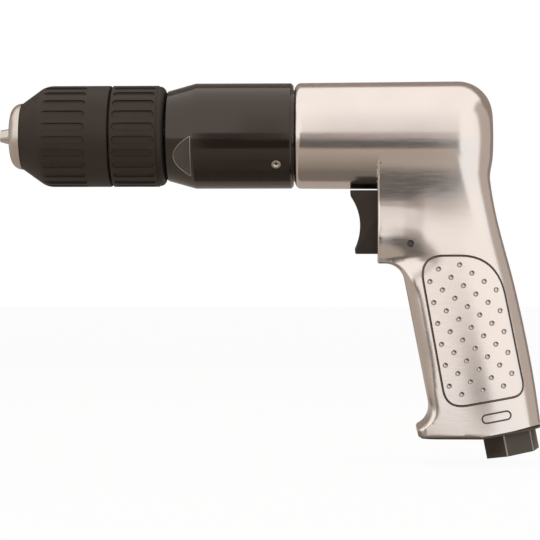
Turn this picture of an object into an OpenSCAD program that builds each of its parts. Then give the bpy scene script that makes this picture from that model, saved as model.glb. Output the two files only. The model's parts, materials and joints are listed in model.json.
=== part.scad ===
// Pistol-grip air drill with a keyless chuck.
// The spindle runs along X, the chuck points to -X, Z is up and Y = 0 is the middle plane.
// The origin is on the spindle axis at the front of the chuck's nose. Sizes are in millimetres.

/* [Chuck] */
// Length of the chuck from its nose to its rear face
chuck_len = 66; // [62:0.5:76]
// Diameter of the two chuck sleeves
chuck_d = 42.8; // [40:0.2:50]
// Length of the steel nose ring
nose_len = 4.7; // [4:0.1:6]
// Diameter of the nose ring where it meets the front sleeve
nose_d = 28; // [26:0.5:31]
// Length of the conical front of the front sleeve
sleeve_cone_len = 8.4; // [6:0.2:10]
// Diameter of the front sleeve at the end of its cone
sleeve_cone_d = 39.6; // [36:0.2:40]
// Length of the front sleeve
front_sleeve_len = 38.2; // [36:0.2:40]
// Gap between the two sleeves
sleeve_gap = 0.6; // [0.4:0.1:1.2]
// Corner radius at the rear of the chuck
sleeve_corner_r = 3.4; // [2:0.2:4]
// Width of one grip slot in the sleeves
grip_slot_w = 2.6; // [1.6:0.1:3.4]
// Depth of the grip slots
grip_slot_depth = 0.7; // [0.3:0.1:1]
// Largest bit shank that the chuck takes
bit_capacity = 13; // [11:0.5:13]
// Angle between a jaw and the spindle axis
jaw_angle = 15; // [14:0.5:16]
// Diameter of a jaw
jaw_d = 6.6; // [6:0.1:7]
// How far the closed jaws stand out of the nose
jaw_out = 4.8; // [3:0.2:6]
// Diameter of the spindle thread inside the chuck
spindle_thread_d = 12.7; // [12:0.1:13]
// Diameter of the screw that locks the chuck to the spindle
chuck_screw_d = 6; // [5:0.5:6.5]

/* [Gear case] */
// Diameter of the gear case
gear_case_d = 44.5; // [43:0.5:50]
// Length of the gear case up to the housing joint
gear_case_len = 53.2; // [50:0.2:60]
// Diameter of the front end of the gear case
case_nose_d = 38.1; // [36:0.1:40]
// Length of the cone at the front of the gear case
case_cone_len = 12.1; // [9:0.1:15]
// Gap between the chuck and the gear case
chuck_gap = 0.6; // [0.4:0.1:1.5]
// Distance across the two wrench flats
flat_across = 39.8; // [38.6:0.1:41]
// Length of the wrench flats from the front end
flat_len = 10.9; // [8:0.1:12]
// Turn of the wrench flats below the level of the spindle
flat_clock = 28; // [0:1:60]
// Distance of the grease fitting from the front end
grease_x = 46.6; // [40:0.2:49]
// Turn of the grease fitting below the level of the spindle
grease_clock = 36; // [0:1:60]
// Diameter of the grease fitting
grease_d = 4.2; // [3:0.1:6]

/* [Gear train] */
// Module of all gears
gear_module = 0.7; // [0.64:0.02:0.74]
// Depth of the shoulder between the gear case and its spigot
spigot_step = 2.86; // [2.4:0.02:3.4]
// Face width of the output planets
output_planet_w = 6; // [5:0.2:7]
// Face width of the input planets
input_planet_w = 5; // [4:0.2:6]
// Diameter of the planet pins
planet_pin_d = 3; // [2.4:0.1:3.6]
// Thickness of the carrier plates
carrier_plate_t = 2; // [1.6:0.1:2.6]
// Thinnest rim of the ring gear outside its tooth roots
ring_rim = 1; // [0.8:0.1:1.3]
// Wall of the gear case spigot that enters the housing
spigot_wall = 1.9; // [1.5:0.1:2.2]
// Length of the spigot
spigot_len = 10.2; // [8:0.2:12]

/* [Bearings] */
// Diameter of the spindle journal
spindle_d = 15; // [14:0.5:16]
// Outside diameter of the spindle bearings
spindle_bearing_d = 32; // [30:0.5:33]
// Width of a spindle bearing
spindle_bearing_w = 9; // [8:0.5:10]
// Length of the spacer between the spindle bearings
bearing_spacing = 10; // [7:0.5:12]
// Diameter of the rotor shaft
rotor_shaft_d = 8; // [7.6:0.1:9]
// Outside diameter of the rotor bearings
rotor_bearing_d = 22; // [20:0.5:24]
// Width of a rotor bearing
rotor_bearing_w = 7; // [6:0.5:8]

/* [Motor] */
// Thinnest wall of the motor cylinder
liner_wall = 1.5; // [1.2:0.1:2]
// Offset of the cylinder bore from the rotor axis
eccentricity = 1.6; // [1.2:0.1:1.8]
// Thickness of a vane
vane_t = 2.2; // [1.6:0.1:3]
// Height of a vane
vane_h = 6.4; // [5:0.2:7]
// Wall of an end plate next to the rotor
end_plate_wall = 2; // [1.5:0.1:3]
// Thickness of the gasket behind the motor
gasket_t = 0.8; // [0.5:0.1:1.2]

/* [Barrel] */
// Diameter of the barrel at its front
barrel_d = 44.6; // [44:0.2:48]
// Diameter of the barrel at its rear
barrel_rear_d = 46.2; // [45:0.2:50]
// Thinnest wall of the barrel around the motor
barrel_wall = 2.87; // [2.4:0.01:4]
// Length of the barrel
barrel_len = 83; // [78:0.5:95]
// Corner radius at the rear of the barrel
barrel_corner_r = 12.7; // [9:0.1:15]
// Edge radius at the front of the barrel
barrel_edge_r = 1.6; // [0.8:0.1:2]
// Groove between the gear case and the barrel
joint_gap = 0.8; // [0.5:0.1:1.5]
// Solid wall behind the motor
rear_wall = 9.5; // [7:0.5:12]

/* [Handle] */
// Lean of the handle from square to the spindle
handle_tilt = 11; // [7:0.5:14]
// Distance along the handle from the spindle axis to the inlet seat
handle_len = 127; // [118:0.5:140]
// Depth of the flat foot of the handle below the spindle axis
handle_drop = 127; // [120:0.5:140]
// Distance of the handle axis ahead of the rear of the barrel
axis_setback = 17.2; // [15:0.2:19]
// Width of the grip
grip_w = 33; // [31:0.5:38]
// Distance from the handle axis to the front of the grip
grip_front = 31.4; // [29:0.2:35]
// Distance from the handle axis to the back of the grip
grip_back = 14.2; // [13:0.2:18]
// Corner radius at the front of the grip
grip_front_r = 8; // [5:0.5:10]
// Corner radius at the back of the grip
grip_back_r = 9; // [6:0.5:11]
// Radius of the hollow blend between the grip and the barrel
blend_r = 20; // [12:1:26]
// Distance of the trigger block behind the front of the barrel
block_setback = 34.8; // [30:0.2:37]
// Depth of the trigger block below the spindle axis
lip_drop = 54; // [52:0.5:58]
// Radius under the trigger block
lip_r = 6.5; // [4:0.5:11]
// Corner radius at the foot of the trigger block
block_corner_r = 2; // [1:0.1:3]
// Radius of the flare in front of the foot
toe_r = 9; // [7:0.5:11]
// How far the foot stands out in front
toe_out = 6.6; // [4:0.2:7]
// Thickness of the exhaust deflector under the foot
deflector_t = 0.8; // [0.6:0.1:1.5]

/* [Trigger] */
// How far the trigger stands out of the block
trigger_reach = 11.6; // [9:0.2:14]
// Depth of the top of the trigger below the spindle axis
trigger_top = 23.2; // [23:0.1:25]
// Least gap between the trigger and the barrel above it
trigger_gap = 0.3; // [0.1:0.1:1]
// Height of the trigger
trigger_h = 26.7; // [24:0.1:28]
// Width of the trigger
trigger_w = 14.6; // [12:0.2:17]
// Travel of the trigger
trigger_travel = 4.5; // [3.5:0.1:5]
// Radius of the finger dish in the trigger
trigger_dish_r = 22; // [18:1:30]
// Diameter of the pin that keeps the trigger
trigger_pin_d = 2.8; // [2:0.1:3.5]
// Distance of the pin behind the face of the trigger block
pin_setback = 13.6; // [12.5:0.1:15]
// Depth of the pin below the spindle axis
pin_drop = 45.7; // [45:0.1:47]

/* [Throttle and inlet] */
// Distance along the handle from the spindle axis to the valve seat
seat_depth = 61; // [58:0.5:64]
// Diameter of the throttle valve disc
valve_disc_d = 13; // [11:0.2:14]
// Diameter of the throttle valve stem
valve_stem_d = 2.4; // [2:0.1:3]
// Diameter of the valve chamber
chamber_d = 17; // [16.4:0.2:19]
// Distance across the flats of the inlet hexagon
hex_across = 21.5; // [20:0.1:24]
// Height of the inlet hexagon
hex_h = 9.4; // [8:0.1:12]
// Diameter of the air inlet thread
inlet_d = 11.4; // [10.5:0.1:13]
// Length of the inlet shank inside the handle
shank_len = 16; // [12:0.5:20]
// Height of the inlet screen above the shank
screen_h = 30; // [24:0.5:32]
// Wire of the valve spring
spring_wire = 0.9; // [0.7:0.1:1.1]

/* [Hidden] */
$fn = 96;

// Fits: parts that sit in each other, parts that turn in each other, side gaps of turning parts
fit = 0.04;
run = 0.1;
side_gap = 0.4;
// A cut runs this far past the face that it leaves
past = 1;

// Chuck, worked out from the travel that the jaws need
jaw_travel = bit_capacity / 2 / sin(jaw_angle);
jaw_r = jaw_d / 2;
jaw_axis_r0 = 0.2;
jaw_side = jaw_r / cos(jaw_angle);
nut_w = 7;
nut_x = -jaw_out + jaw_travel * cos(jaw_angle) + 1.5;
nut_bearing_t = 2.4;
jaw_rear_x = nut_x + nut_w + 1;
body_step_x = nut_x + nut_w + nut_bearing_t + 2 * side_gap;
nose_wall = 3.5;
body_nose_r = nose_d / 2 - nose_wall;
body_groove_r = jaw_outer(nut_x) - 0.6;
sleeve_wall = 3.8;
body_r = chuck_d / 2 - sleeve_wall;
sleeve_split_x = nose_len + front_sleeve_len;
sleeve_count = 24;
slot_margin = 1.6;
smooth_band = 9.4;
rear_band = 3;
thread_len = 17.5;
chuck_web = 4;
bit_bore_x = chuck_len - thread_len - chuck_web;
bit_bore_r = bit_capacity / 2 + 0.25;

// Stations along the spindle, from the chuck to the rear of the barrel
case_x = chuck_len + chuck_gap;
seal_t = 3;
seal_w = 3.5;
case_lip = 0.6;
bearing_1_x = case_x + case_lip + seal_t + 0.8;
bearing_2_x = bearing_1_x + spindle_bearing_w + bearing_spacing;
bearing_end_x = bearing_2_x + spindle_bearing_w;
snap_t = 1;
carrier_x = bearing_end_x + snap_t + side_gap;
output_planet_x = carrier_x + carrier_plate_t + side_gap;
carrier_rear_x = output_planet_x + output_planet_w + side_gap;
head_x = carrier_rear_x + carrier_plate_t + 0.6;
input_planet_x = head_x + carrier_plate_t + side_gap;
head_rear_x = input_planet_x + input_planet_w + side_gap;
head_end_x = head_rear_x + carrier_plate_t;
ring_x = output_planet_x - side_gap - 0.6;
ring_end_x = head_end_x + 0.5;
case_end_x = case_x + gear_case_len;
motor_x = case_end_x + spigot_len;
barrel_x = case_end_x + joint_gap;
barrel_end_x = barrel_x + barrel_len;
bore_end_x = barrel_end_x - rear_wall;
end_plate_t = rotor_bearing_w + end_plate_wall;
rear_plate_x = bore_end_x - gasket_t - end_plate_t;
liner_x = motor_x + end_plate_t;
liner_len = rear_plate_x - liner_x;

// The spigot lies inside both the gear case and the barrel, and holds the ring gear
spigot_r = min(gear_case_d / 2 - spigot_step, barrel_d / 2 - barrel_wall - fit);
ring_bore_r = spigot_r - spigot_wall;
ring_r = ring_bore_r - fit;

// Gears: the planets get the most teeth that the ring gear has room for. With three planets, the
// tooth counts of sun, planets and ring divide by three
planet_count = 3;
sun_teeth = 9;
pressure_angle = 25;
tooth_tip = 0.8;
tooth_root = 1;
flank_gap = 0.05;
rounding = 0.001;
planet_room = (ring_r - ring_rim) / gear_module - tooth_root - sun_teeth / 2;
planet_teeth = planet_count * floor(planet_room / planet_count + rounding);
ring_teeth = sun_teeth + 2 * planet_teeth;
planet_orbit = gear_module * (sun_teeth + planet_teeth) / 2;
carrier_r = gear_module * (ring_teeth / 2 - tooth_tip) - 0.7;
post_r = 2;
post_margin = 0.3;
sun_hole_r = gear_module * (sun_teeth / 2 + tooth_tip) + 0.6;
motor_bore_r = spigot_r + fit;
liner_r = motor_bore_r - fit;
liner_bore_r = liner_r - liner_wall - eccentricity;
rotor_r = liner_bore_r - eccentricity - 2 * run;
vane_count = 5;

// Handle: its axis meets the spindle axis at handle_x0
handle_x0 = barrel_end_x - axis_setback;
block_x = barrel_x + block_setback;
trigger_bottom = trigger_top + trigger_h;
foot_z = -handle_drop;
toe_drop = toe_r * sin(acos(1 - toe_out / toe_r));
toe_z = foot_z + 3.4 + toe_drop;
barrel_overlap = 0.1;
block_edge_r = 0.8;
// The blend leaves a circle that lies this deep in the barrel
blend_sink = 0.6;
blend_from_r = barrel_d / 2 - blend_sink;
blend_drop = sqrt(pow(blend_from_r + blend_r, 2) - pow(grip_w / 2 + blend_r, 2));
blend_top = blend_drop * blend_from_r / (blend_from_r + blend_r);
back_r_drop = 50;

// Throttle: the stem meets the trigger rod at the depth rod_drop
stem_r = valve_stem_d / 2;
rod_r = 2.8;
rod_rise = 0.6;
rod_drop = trigger_top + trigger_h / 2 - rod_rise;
rod_meets_x = axis_at(-rod_drop);
rod_gap = 0.3;
rod_room = 9;
passage_r = 7.5;
seat_t = 4;
seat_hole_r = 4.2;
disc_t = 2.2;
stem_top = 4;
shank_r = chamber_d / 2 - fit;
shank_bore_r = 4.4;
screen_r = 6.4;
screen_wall = 0.8;
spring_turns = 5;
spring_r = 4.6;
exhaust_in = 12;
exhaust_depth = 14;
exhaust_half_w = 10;
exhaust_top = seat_depth + 6;
duct_r = 3;
duct_y = 9;
duct_in = 17;
pocket_depth = 11.5;
tongue_w = 7;
tongue_h = 8;
tongue_tail = 3.4;

// Radius of a jaw's outer side where it crosses the plane at x
function jaw_outer(x) = jaw_axis_r0 + x * tan(jaw_angle) + jaw_side;
// Place of the handle axis at height z
function axis_at(z) = handle_x0 - z * tan(handle_tilt);
// Smooth step from 0 to 1
function ease(t) = let (u = min(1, max(0, t))) u * u * (3 - 2 * u);
function mix(a, b, t) = a + (b - a) * t;
// Point of a smooth curve through a list of [place, value] rows
function curve_at(rows, p, i = 0) =
  (i >= len(rows) - 2 || p <= rows[i + 1][0]) ? hermite(rows, i, p) : curve_at(rows, p, i + 1);
function slope(rows, i) =
  let (a = rows[max(0, i - 1)], b = rows[min(len(rows) - 1, i + 1)]) (b[1] - a[1]) / (b[0] - a[0]);
function hermite(rows, i, p) =
  let (
    a = rows[i],
    b = rows[i + 1],
    h = b[0] - a[0],
    t = (p - a[0]) / h,
    blend = t * t * (3 - 2 * t)
  )
  mix(a[1], b[1], blend)
    + h * slope(rows, i) * t * (1 - t) * (1 - t)
    - h * slope(rows, i + 1) * t * t * (1 - t);

// Solids of revolution about the spindle, drawn as [radius, x]
module revolve_x() {
  rotate([0, 90, 0]) rotate_extrude() children();
}

// Quarter of a disc, for round edges of a profile
module quarter_disc(r) {
  intersection() {
    circle(r = r);
    square(r);
  }
}

// Ring about the spindle from x0 to x1
module ring_x(x0, x1, r_in, r_out) {
  revolve_x() translate([r_in, x0]) square([r_out - r_in, x1 - x0]);
}

// Disc or bore about the spindle from x0 to x1
module rod_x(x0, x1, r) {
  translate([x0, 0, 0]) rotate([0, 90, 0]) cylinder(h = x1 - x0, r = r);
}

// Extrusion along the spindle of a shape drawn across it
module extrude_x(x0, length) {
  translate([x0, 0, 0]) rotate([0, 90, 0]) linear_extrude(length) children();
}

// Extrusion across the drill of a shape drawn in the X-Z plane
module extrude_y(width) {
  rotate([90, 0, 0]) linear_extrude(width, center = true) children();
}

// Frame of the handle: its axis is -Z, with its top on the spindle axis
module on_handle() {
  translate([handle_x0, 0, 0]) rotate([0, -handle_tilt, 0]) children();
}

// Bore or rod on the handle axis between two depths
module handle_rod(top, bottom, r) {
  on_handle() translate([0, 0, -bottom]) cylinder(h = bottom - top, r = r);
}

// Points of an arc about a centre, from one angle to another
function arc(centre, r, from, to, steps) =
  [for (i = [0:steps]) let (a = mix(from, to, i / steps)) centre + r * [cos(a), sin(a)]];

// Involute of a base circle, unrolled by an angle
function involute(base_r, a) = base_r * [cos(a) + a * PI / 180 * sin(a), sin(a) - a * PI / 180 * cos(a)];
function roll_at(base_r, r) = r <= base_r ? 0 : sqrt(pow(r / base_r, 2) - 1) * 180 / PI;
function turned(p, a) = [p[0] * cos(a) - p[1] * sin(a), p[0] * sin(a) + p[1] * cos(a)];
function polar(r, a) = r * [cos(a), sin(a)];

// One flank from root to tip, set at half the tooth angle
function flank(teeth, tip, root, extra, side, steps = 4) =
  let (
    pitch_r = gear_module * teeth / 2,
    base_r = pitch_r * cos(pressure_angle),
    tip_r = pitch_r + gear_module * tip,
    root_r = pitch_r - gear_module * root,
    pitch_roll = roll_at(base_r, pitch_r),
    pitch_turn = pitch_roll - pressure_angle,
    half = 90 / teeth + extra / pitch_r * 180 / PI,
    start = roll_at(base_r, root_r),
    end = roll_at(base_r, tip_r),
    curve = [
      for (i = [0:steps])
      let (p = involute(base_r, mix(start, end, i / steps)))
      turned([p[0], -p[1]], half + pitch_turn)
    ],
    foot = root_r < base_r ? [polar(root_r, half + pitch_turn)] : []
  )
  [for (p = concat(foot, curve)) [p[0], side * p[1]]];

// Outline of a spur gear with one tooth on the X axis
function gear_points(teeth, tip, root, extra) = [
  for (k = [0:teeth - 1])
  let (
    up = flank(teeth, tip, root, extra, 1),
    down = flank(teeth, tip, root, extra, -1),
    n = len(up)
  )
  for (p = concat(down, [for (i = [0:n - 1]) up[n - 1 - i]])) turned(p, k * 360 / teeth)
];

module gear_2d(teeth) {
  polygon(gear_points(teeth, tooth_tip, tooth_root, -flank_gap));
}

// Repeats a shape at the planets' places
module at_planets() {
  for (k = [0:planet_count - 1]) rotate(k * 360 / planet_count) translate([planet_orbit, 0]) children();
}

// Repeats a shape between the planets
module between_planets() {
  for (k = [0:planet_count - 1])
    rotate((k + 0.5) * 360 / planet_count) translate([carrier_r - post_r - post_margin, 0]) children();
}

module planet(k, x, width) {
  extrude_x(x, width)
    rotate(k * 360 / planet_count)
    translate([planet_orbit, 0])
    difference() {
      rotate(180 / planet_teeth) gear_2d(planet_teeth);
      circle(r = planet_pin_d / 2 + run / 2);
    }
}

// Plate of a planet carrier with its pin holes
module carrier_plate(x, hole_r) {
  extrude_x(x, carrier_plate_t)
    difference() {
      circle(r = carrier_r);
      at_planets() circle(d = planet_pin_d);
      if (hole_r > 0) circle(r = hole_r);
    }
}

module carrier_posts(x0, x1) {
  extrude_x(x0, x1 - x0) between_planets() circle(r = post_r);
}

module planet_pins(x0, x1) {
  extrude_x(x0, x1 - x0) at_planets() circle(d = planet_pin_d);
}

// Ball bearing races: balls of radius ball_r on the circle between the races
function ball_orbit(bore_r, out_r) = (bore_r + out_r) / 2;
function ball_size(bore_r, out_r) = (out_r - bore_r) * 0.27;

module race_groove(bore_r, out_r, x, width) {
  translate([ball_orbit(bore_r, out_r), x + width / 2]) circle(r = ball_size(bore_r, out_r) + run);
}

module outer_race(bore_r, out_r, x, width, balls) {
  wall = (out_r - bore_r) * 0.3;
  revolve_x()
    difference() {
      translate([out_r - wall, x]) square([wall, width]);
      race_groove(bore_r, out_r, x, width);
    }
  translate([x + width / 2, 0, 0])
    for (k = [0:balls - 1])
      rotate([k * 360 / balls, 0, 0])
        translate([0, ball_orbit(bore_r, out_r), 0]) sphere(r = ball_size(bore_r, out_r));
}

module inner_race(bore_r, out_r, x, width) {
  wall = (out_r - bore_r) * 0.3;
  revolve_x()
    difference() {
      translate([bore_r, x]) square([wall, width]);
      race_groove(bore_r, out_r, x, width);
    }
}

// Chuck

module nose_ring() {
  mouth_r = jaw_outer(0) + bit_capacity / 4;
  round_r = nose_len;
  color("silver")
    revolve_x()
    difference() {
      union() {
        translate([mouth_r, 0]) square([nose_d / 2 - round_r - mouth_r, nose_len]);
        translate([nose_d / 2 - round_r, nose_len]) mirror([0, 1]) quarter_disc(round_r);
      }
      translate([0, nose_len / 4]) square([body_nose_r, nose_len]);
    }
}

// Row of grip slots round a sleeve
module grip_slots(x0, x1) {
  for (k = [0:sleeve_count - 1])
    rotate([(k + 0.5) * 360 / sleeve_count, 0, 0])
      translate([0, 0, chuck_d / 2 - grip_slot_depth])
      linear_extrude(grip_slot_depth + past) {
        translate([x0 + grip_slot_w / 2, -grip_slot_w / 2]) square([x1 - x0 - grip_slot_w, grip_slot_w]);
        translate([x0 + grip_slot_w / 2, 0]) circle(d = grip_slot_w);
        translate([x1 - grip_slot_w / 2, 0]) circle(d = grip_slot_w);
      }
}

module front_sleeve() {
  cone_x = nose_len + sleeve_cone_len;
  round_r = 9;
  sleeve_r = chuck_d / 2;
  round_x = cone_x + sqrt(pow(round_r, 2) - pow(round_r - sleeve_r + sleeve_cone_d / 2, 2));
  wall = 3;
  color("#3a3431")
    difference() {
      revolve_x()
        difference() {
          polygon(concat(
            [[body_nose_r + 0.5, nose_len + 0.1], [nose_d / 2, nose_len + 0.1]],
            arc([sleeve_r - round_r, round_x], round_r, -asin((round_x - cone_x) / round_r), 0, 5),
            [[sleeve_r, sleeve_split_x], [body_nose_r + 0.5, sleeve_split_x]]
          ));
          polygon([
            [0, nose_len + wall],
            [nose_d / 2 - 1, nose_len + wall],
            [body_r - 0.1, nut_x],
            [body_r - 0.1, nut_x + nut_w],
            [body_r + 0.3, nut_x + nut_w],
            [body_r + 0.3, sleeve_split_x + past],
            [0, sleeve_split_x + past]
          ]);
        }
      grip_slots(cone_x + slot_margin, sleeve_split_x - smooth_band);
    }
}

module rear_sleeve() {
  x0 = sleeve_split_x + sleeve_gap;
  r = chuck_d / 2;
  c = sleeve_corner_r;
  color("#3a3431")
    difference() {
      revolve_x()
        difference() {
          union() {
            translate([0, x0]) square([r, chuck_len - c - x0]);
            translate([0, chuck_len - c]) square([r - c, c]);
            translate([r - c, chuck_len - c]) quarter_disc(c);
          }
          translate([0, x0 - past]) square([body_r, chuck_len - x0 + 2 * past]);
        }
      grip_slots(x0 + slot_margin, chuck_len - rear_band);
    }
}

// Places a shape drawn along X on the axis of jaw k
module on_jaw(k) {
  rotate([k * 120 + 60, 0, 0]) translate([0, 0, jaw_axis_r0]) rotate([0, -jaw_angle, 0]) children();
}

module chuck_body() {
  bore_from = -20;
  bore_to = (jaw_rear_x + jaw_travel) / cos(jaw_angle) + 1;
  color("dimgray")
    difference() {
      union() {
        rod_x(nose_len / 4, nut_x, body_nose_r);
        rod_x(nut_x - past, body_step_x + past, body_groove_r);
        rod_x(body_step_x, chuck_len, body_r);
      }
      rod_x(-past, bit_bore_x, bit_bore_r);
      rod_x(bit_bore_x - past, chuck_len, chuck_screw_d / 2 + run);
      rod_x(chuck_len - thread_len, chuck_len + past, spindle_thread_d / 2 + fit);
      for (k = [1:3])
        on_jaw(k) rod_x(bore_from, bore_to, jaw_r + run);
    }
}

module jaw_nut() {
  x1 = nut_x + side_gap / 2;
  x2 = nut_x + nut_w - side_gap / 2;
  color("gray")
    revolve_x()
    polygon([
      [jaw_outer(x1) + run, x1],
      [body_r - 0.1, x1],
      [body_r - 0.1, x2],
      [jaw_outer(x2) + run, x2]
    ]);
}

module nut_bearing() {
  x1 = nut_x + nut_w + side_gap / 2;
  color("lightsteelblue")
    ring_x(x1, x1 + nut_bearing_t + side_gap, jaw_outer(body_step_x) + 0.5, body_r - 0.2);
}

module chuck_screw() {
  head_t = 3.5;
  color("dimgray")
    difference() {
      union() {
        rod_x(bit_bore_x - head_t, bit_bore_x, bit_bore_r - 1.4);
        rod_x(bit_bore_x - past, chuck_len - 3, chuck_screw_d / 2);
      }
      extrude_x(bit_bore_x - head_t - past, head_t) circle(r = chuck_screw_d / 3, $fn = 6);
    }
}

// A jaw is a slanted rod, ground to a third of the circle where it grips
module jaw(k) {
  wedge = 30;
  grip_gap = 0.06;
  color("silver")
    intersection() {
      on_jaw(k) rod_x(-2 * jaw_out, jaw_rear_x / cos(jaw_angle), jaw_r);
      rotate([k * 120 + 60, 0, 0])
        extrude_x(-jaw_out, jaw_rear_x + jaw_out)
        polygon([
          [-grip_gap, 0],
          [-grip_gap - wedge * cos(60), wedge * sin(60)],
          [-2 * wedge, 0],
          [-grip_gap - wedge * cos(60), -wedge * sin(60)]
        ]);
    }
}

module jaw_1() jaw(1);
module jaw_2() jaw(2);
module jaw_3() jaw(3);

// Spindle and gears

module spindle() {
  color("darkgray")
    difference() {
      union() {
        rod_x(chuck_len - thread_len + side_gap, chuck_len + past, spindle_thread_d / 2);
        rod_x(chuck_len, carrier_x, spindle_d / 2);
        carrier_plate(carrier_x, 0);
        carrier_posts(carrier_x, carrier_rear_x + carrier_plate_t);
        carrier_plate(carrier_rear_x, sun_hole_r);
      }
      rod_x(chuck_len - thread_len, chuck_len, chuck_screw_d / 2 + fit);
    }
}

module output_planet_pins() {
  color("silver") planet_pins(carrier_x, carrier_rear_x + carrier_plate_t);
}

module output_planet(k) {
  color("lightgray") planet(k, output_planet_x, output_planet_w);
}

module output_planet_1() output_planet(0);
module output_planet_2() output_planet(1);
module output_planet_3() output_planet(2);

module gear_head() {
  color("darkgray") {
    extrude_x(output_planet_x, head_x - output_planet_x + carrier_plate_t) gear_2d(sun_teeth);
    carrier_plate(head_x, 0);
    carrier_posts(head_x, head_end_x);
    carrier_plate(head_rear_x, sun_hole_r);
  }
}

module input_planet_pins() {
  color("silver") planet_pins(head_x, head_end_x);
}

module input_planet(k) {
  color("lightgray") planet(k, input_planet_x, input_planet_w);
}

module input_planet_1() input_planet(0);
module input_planet_2() input_planet(1);
module input_planet_3() input_planet(2);

module ring_gear() {
  color("gray")
    extrude_x(ring_x, ring_end_x - ring_x)
    difference() {
      circle(r = ring_r);
      rotate(180 / ring_teeth) polygon(gear_points(ring_teeth, tooth_root, tooth_tip, flank_gap));
    }
}

module ring_gear_spacer() {
  color("gray") ring_x(ring_end_x, motor_x, ring_r - ring_rim - 1, ring_r);
}

// Gear case

module gear_case() {
  case_r = gear_case_d / 2;
  nose_r = case_nose_d / 2;
  nose_edge = 0.6;
  rear_chamfer = 0.9;
  color("#2b2523")
    difference() {
      revolve_x()
        polygon([
          [spindle_d / 2 + 0.5, case_x],
          [nose_r - nose_edge, case_x],
          [nose_r, case_x + nose_edge],
          [case_r, case_x + case_cone_len],
          [case_r, case_end_x - rear_chamfer],
          [case_r - rear_chamfer, case_end_x],
          [spigot_r, case_end_x],
          [spigot_r, motor_x],
          [ring_bore_r, motor_x],
          [ring_bore_r, ring_x],
          [spindle_bearing_d / 2 + fit, ring_x],
          [spindle_bearing_d / 2 + fit, bearing_end_x + snap_t],
          [spindle_bearing_d / 2 + snap_t, bearing_end_x + snap_t],
          [spindle_bearing_d / 2 + snap_t, bearing_end_x],
          [spindle_bearing_d / 2 + fit, bearing_end_x],
          [spindle_bearing_d / 2 + fit, bearing_1_x],
          [spindle_d / 2 + seal_w + fit, bearing_1_x],
          [spindle_d / 2 + seal_w + fit, case_x + case_lip],
          [spindle_d / 2 + 0.5, case_x + case_lip]
        ]);
      for (side = [0, 180])
        rotate([flat_clock + side, 0, 0])
          translate([case_x - past, -gear_case_d, -gear_case_d / 2])
          cube([flat_len + past, gear_case_d - flat_across / 2, gear_case_d]);
      at_grease() cylinder(h = gear_case_d, r = grease_d / 2);
    }
}

// Frame of the grease fitting: it points outward along +Z
module at_grease() {
  translate([case_x + grease_x, 0, 0])
    rotate([grease_clock, 0, 0])
    rotate([90, 0, 0])
    children();
}

module grease_fitting() {
  face_r = gear_case_d / 2 - 0.15;
  color("silver")
    at_grease()
    difference() {
      translate([0, 0, ring_bore_r]) cylinder(h = face_r - ring_bore_r, r = grease_d / 2 - fit);
      translate([0, 0, ring_bore_r - past]) cylinder(h = gear_case_d, r = grease_d / 9);
      translate([0, 0, face_r - 0.6]) cylinder(h = 1, r1 = grease_d / 9, r2 = grease_d / 3);
    }
}

module spindle_seal() {
  color("#222222")
    ring_x(
      case_x + case_lip + fit,
      case_x + case_lip + seal_t,
      spindle_d / 2 + run,
      spindle_d / 2 + seal_w
    );
}

module spindle_bearing(x) {
  color("silver") outer_race(spindle_d / 2, spindle_bearing_d / 2, x, spindle_bearing_w, 9);
}

module spindle_race(x) {
  color("silver") inner_race(spindle_d / 2, spindle_bearing_d / 2, x, spindle_bearing_w);
}

module front_spindle_bearing() spindle_bearing(bearing_1_x);
module rear_spindle_bearing() spindle_bearing(bearing_2_x);
module front_spindle_race() spindle_race(bearing_1_x);
module rear_spindle_race() spindle_race(bearing_2_x);

module bearing_spacer() {
  wall = 2;
  r = spindle_bearing_d / 2;
  color("lightgray") ring_x(bearing_1_x + spindle_bearing_w, bearing_2_x, r - wall, r);
}

module bearing_snap_ring() {
  gap_w = 6;
  inside = 1.2;
  r = spindle_bearing_d / 2;
  color("dimgray")
    difference() {
      ring_x(bearing_end_x, bearing_end_x + snap_t, r - inside, r + snap_t - fit);
      translate([bearing_end_x - past, -gap_w / 2, 0]) cube([snap_t + 2 * past, gap_w, 2 * r]);
    }
}

// Motor

module rotor() {
  shaft_r = rotor_shaft_d / 2;
  color("lightgray")
    difference() {
      union() {
        extrude_x(input_planet_x, motor_x - input_planet_x) gear_2d(sun_teeth);
        rod_x(head_end_x + side_gap, rear_plate_x + end_plate_t, shaft_r);
        rod_x(liner_x + run, rear_plate_x - run, rotor_r);
      }
      for (k = [0:vane_count - 1])
        rotate([k * 360 / vane_count, 0, 0])
          translate([liner_x - past, -vane_t / 2 - run, rotor_r - vane_h])
          cube([liner_len + 2 * past, vane_t + 2 * run, vane_h + past]);
    }
}

// A vane lies wholly in its slot
module vane(k) {
  color("saddlebrown")
    rotate([k * 360 / vane_count, 0, 0])
    translate([liner_x + run, -vane_t / 2, rotor_r - vane_h])
    cube([liner_len - 2 * run, vane_t, vane_h - run]);
}

module vane_1() vane(0);
module vane_2() vane(1);
module vane_3() vane(2);
module vane_4() vane(3);
module vane_5() vane(4);

module motor_cylinder() {
  slots = 4;
  slot_len = 3;
  slot_pitch = liner_len * 0.12;
  slots_x = liner_x + liner_len * 0.45;
  color("gray")
    difference() {
      rod_x(liner_x, rear_plate_x, liner_r);
      translate([0, 0, -eccentricity]) rod_x(liner_x - past, rear_plate_x + past, liner_bore_r);
      for (i = [0:slots - 1], side = [-1, 1])
        translate([slots_x + i * slot_pitch, side * duct_y - duct_r / 2, -motor_bore_r - past])
          cube([slot_len, duct_r, motor_bore_r - eccentricity]);
      at_dowel() rod_x(liner_x - past, rear_plate_x + past, dowel_r() + fit);
    }
}

function dowel_r() = (liner_wall + eccentricity) / 3.2;

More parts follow.
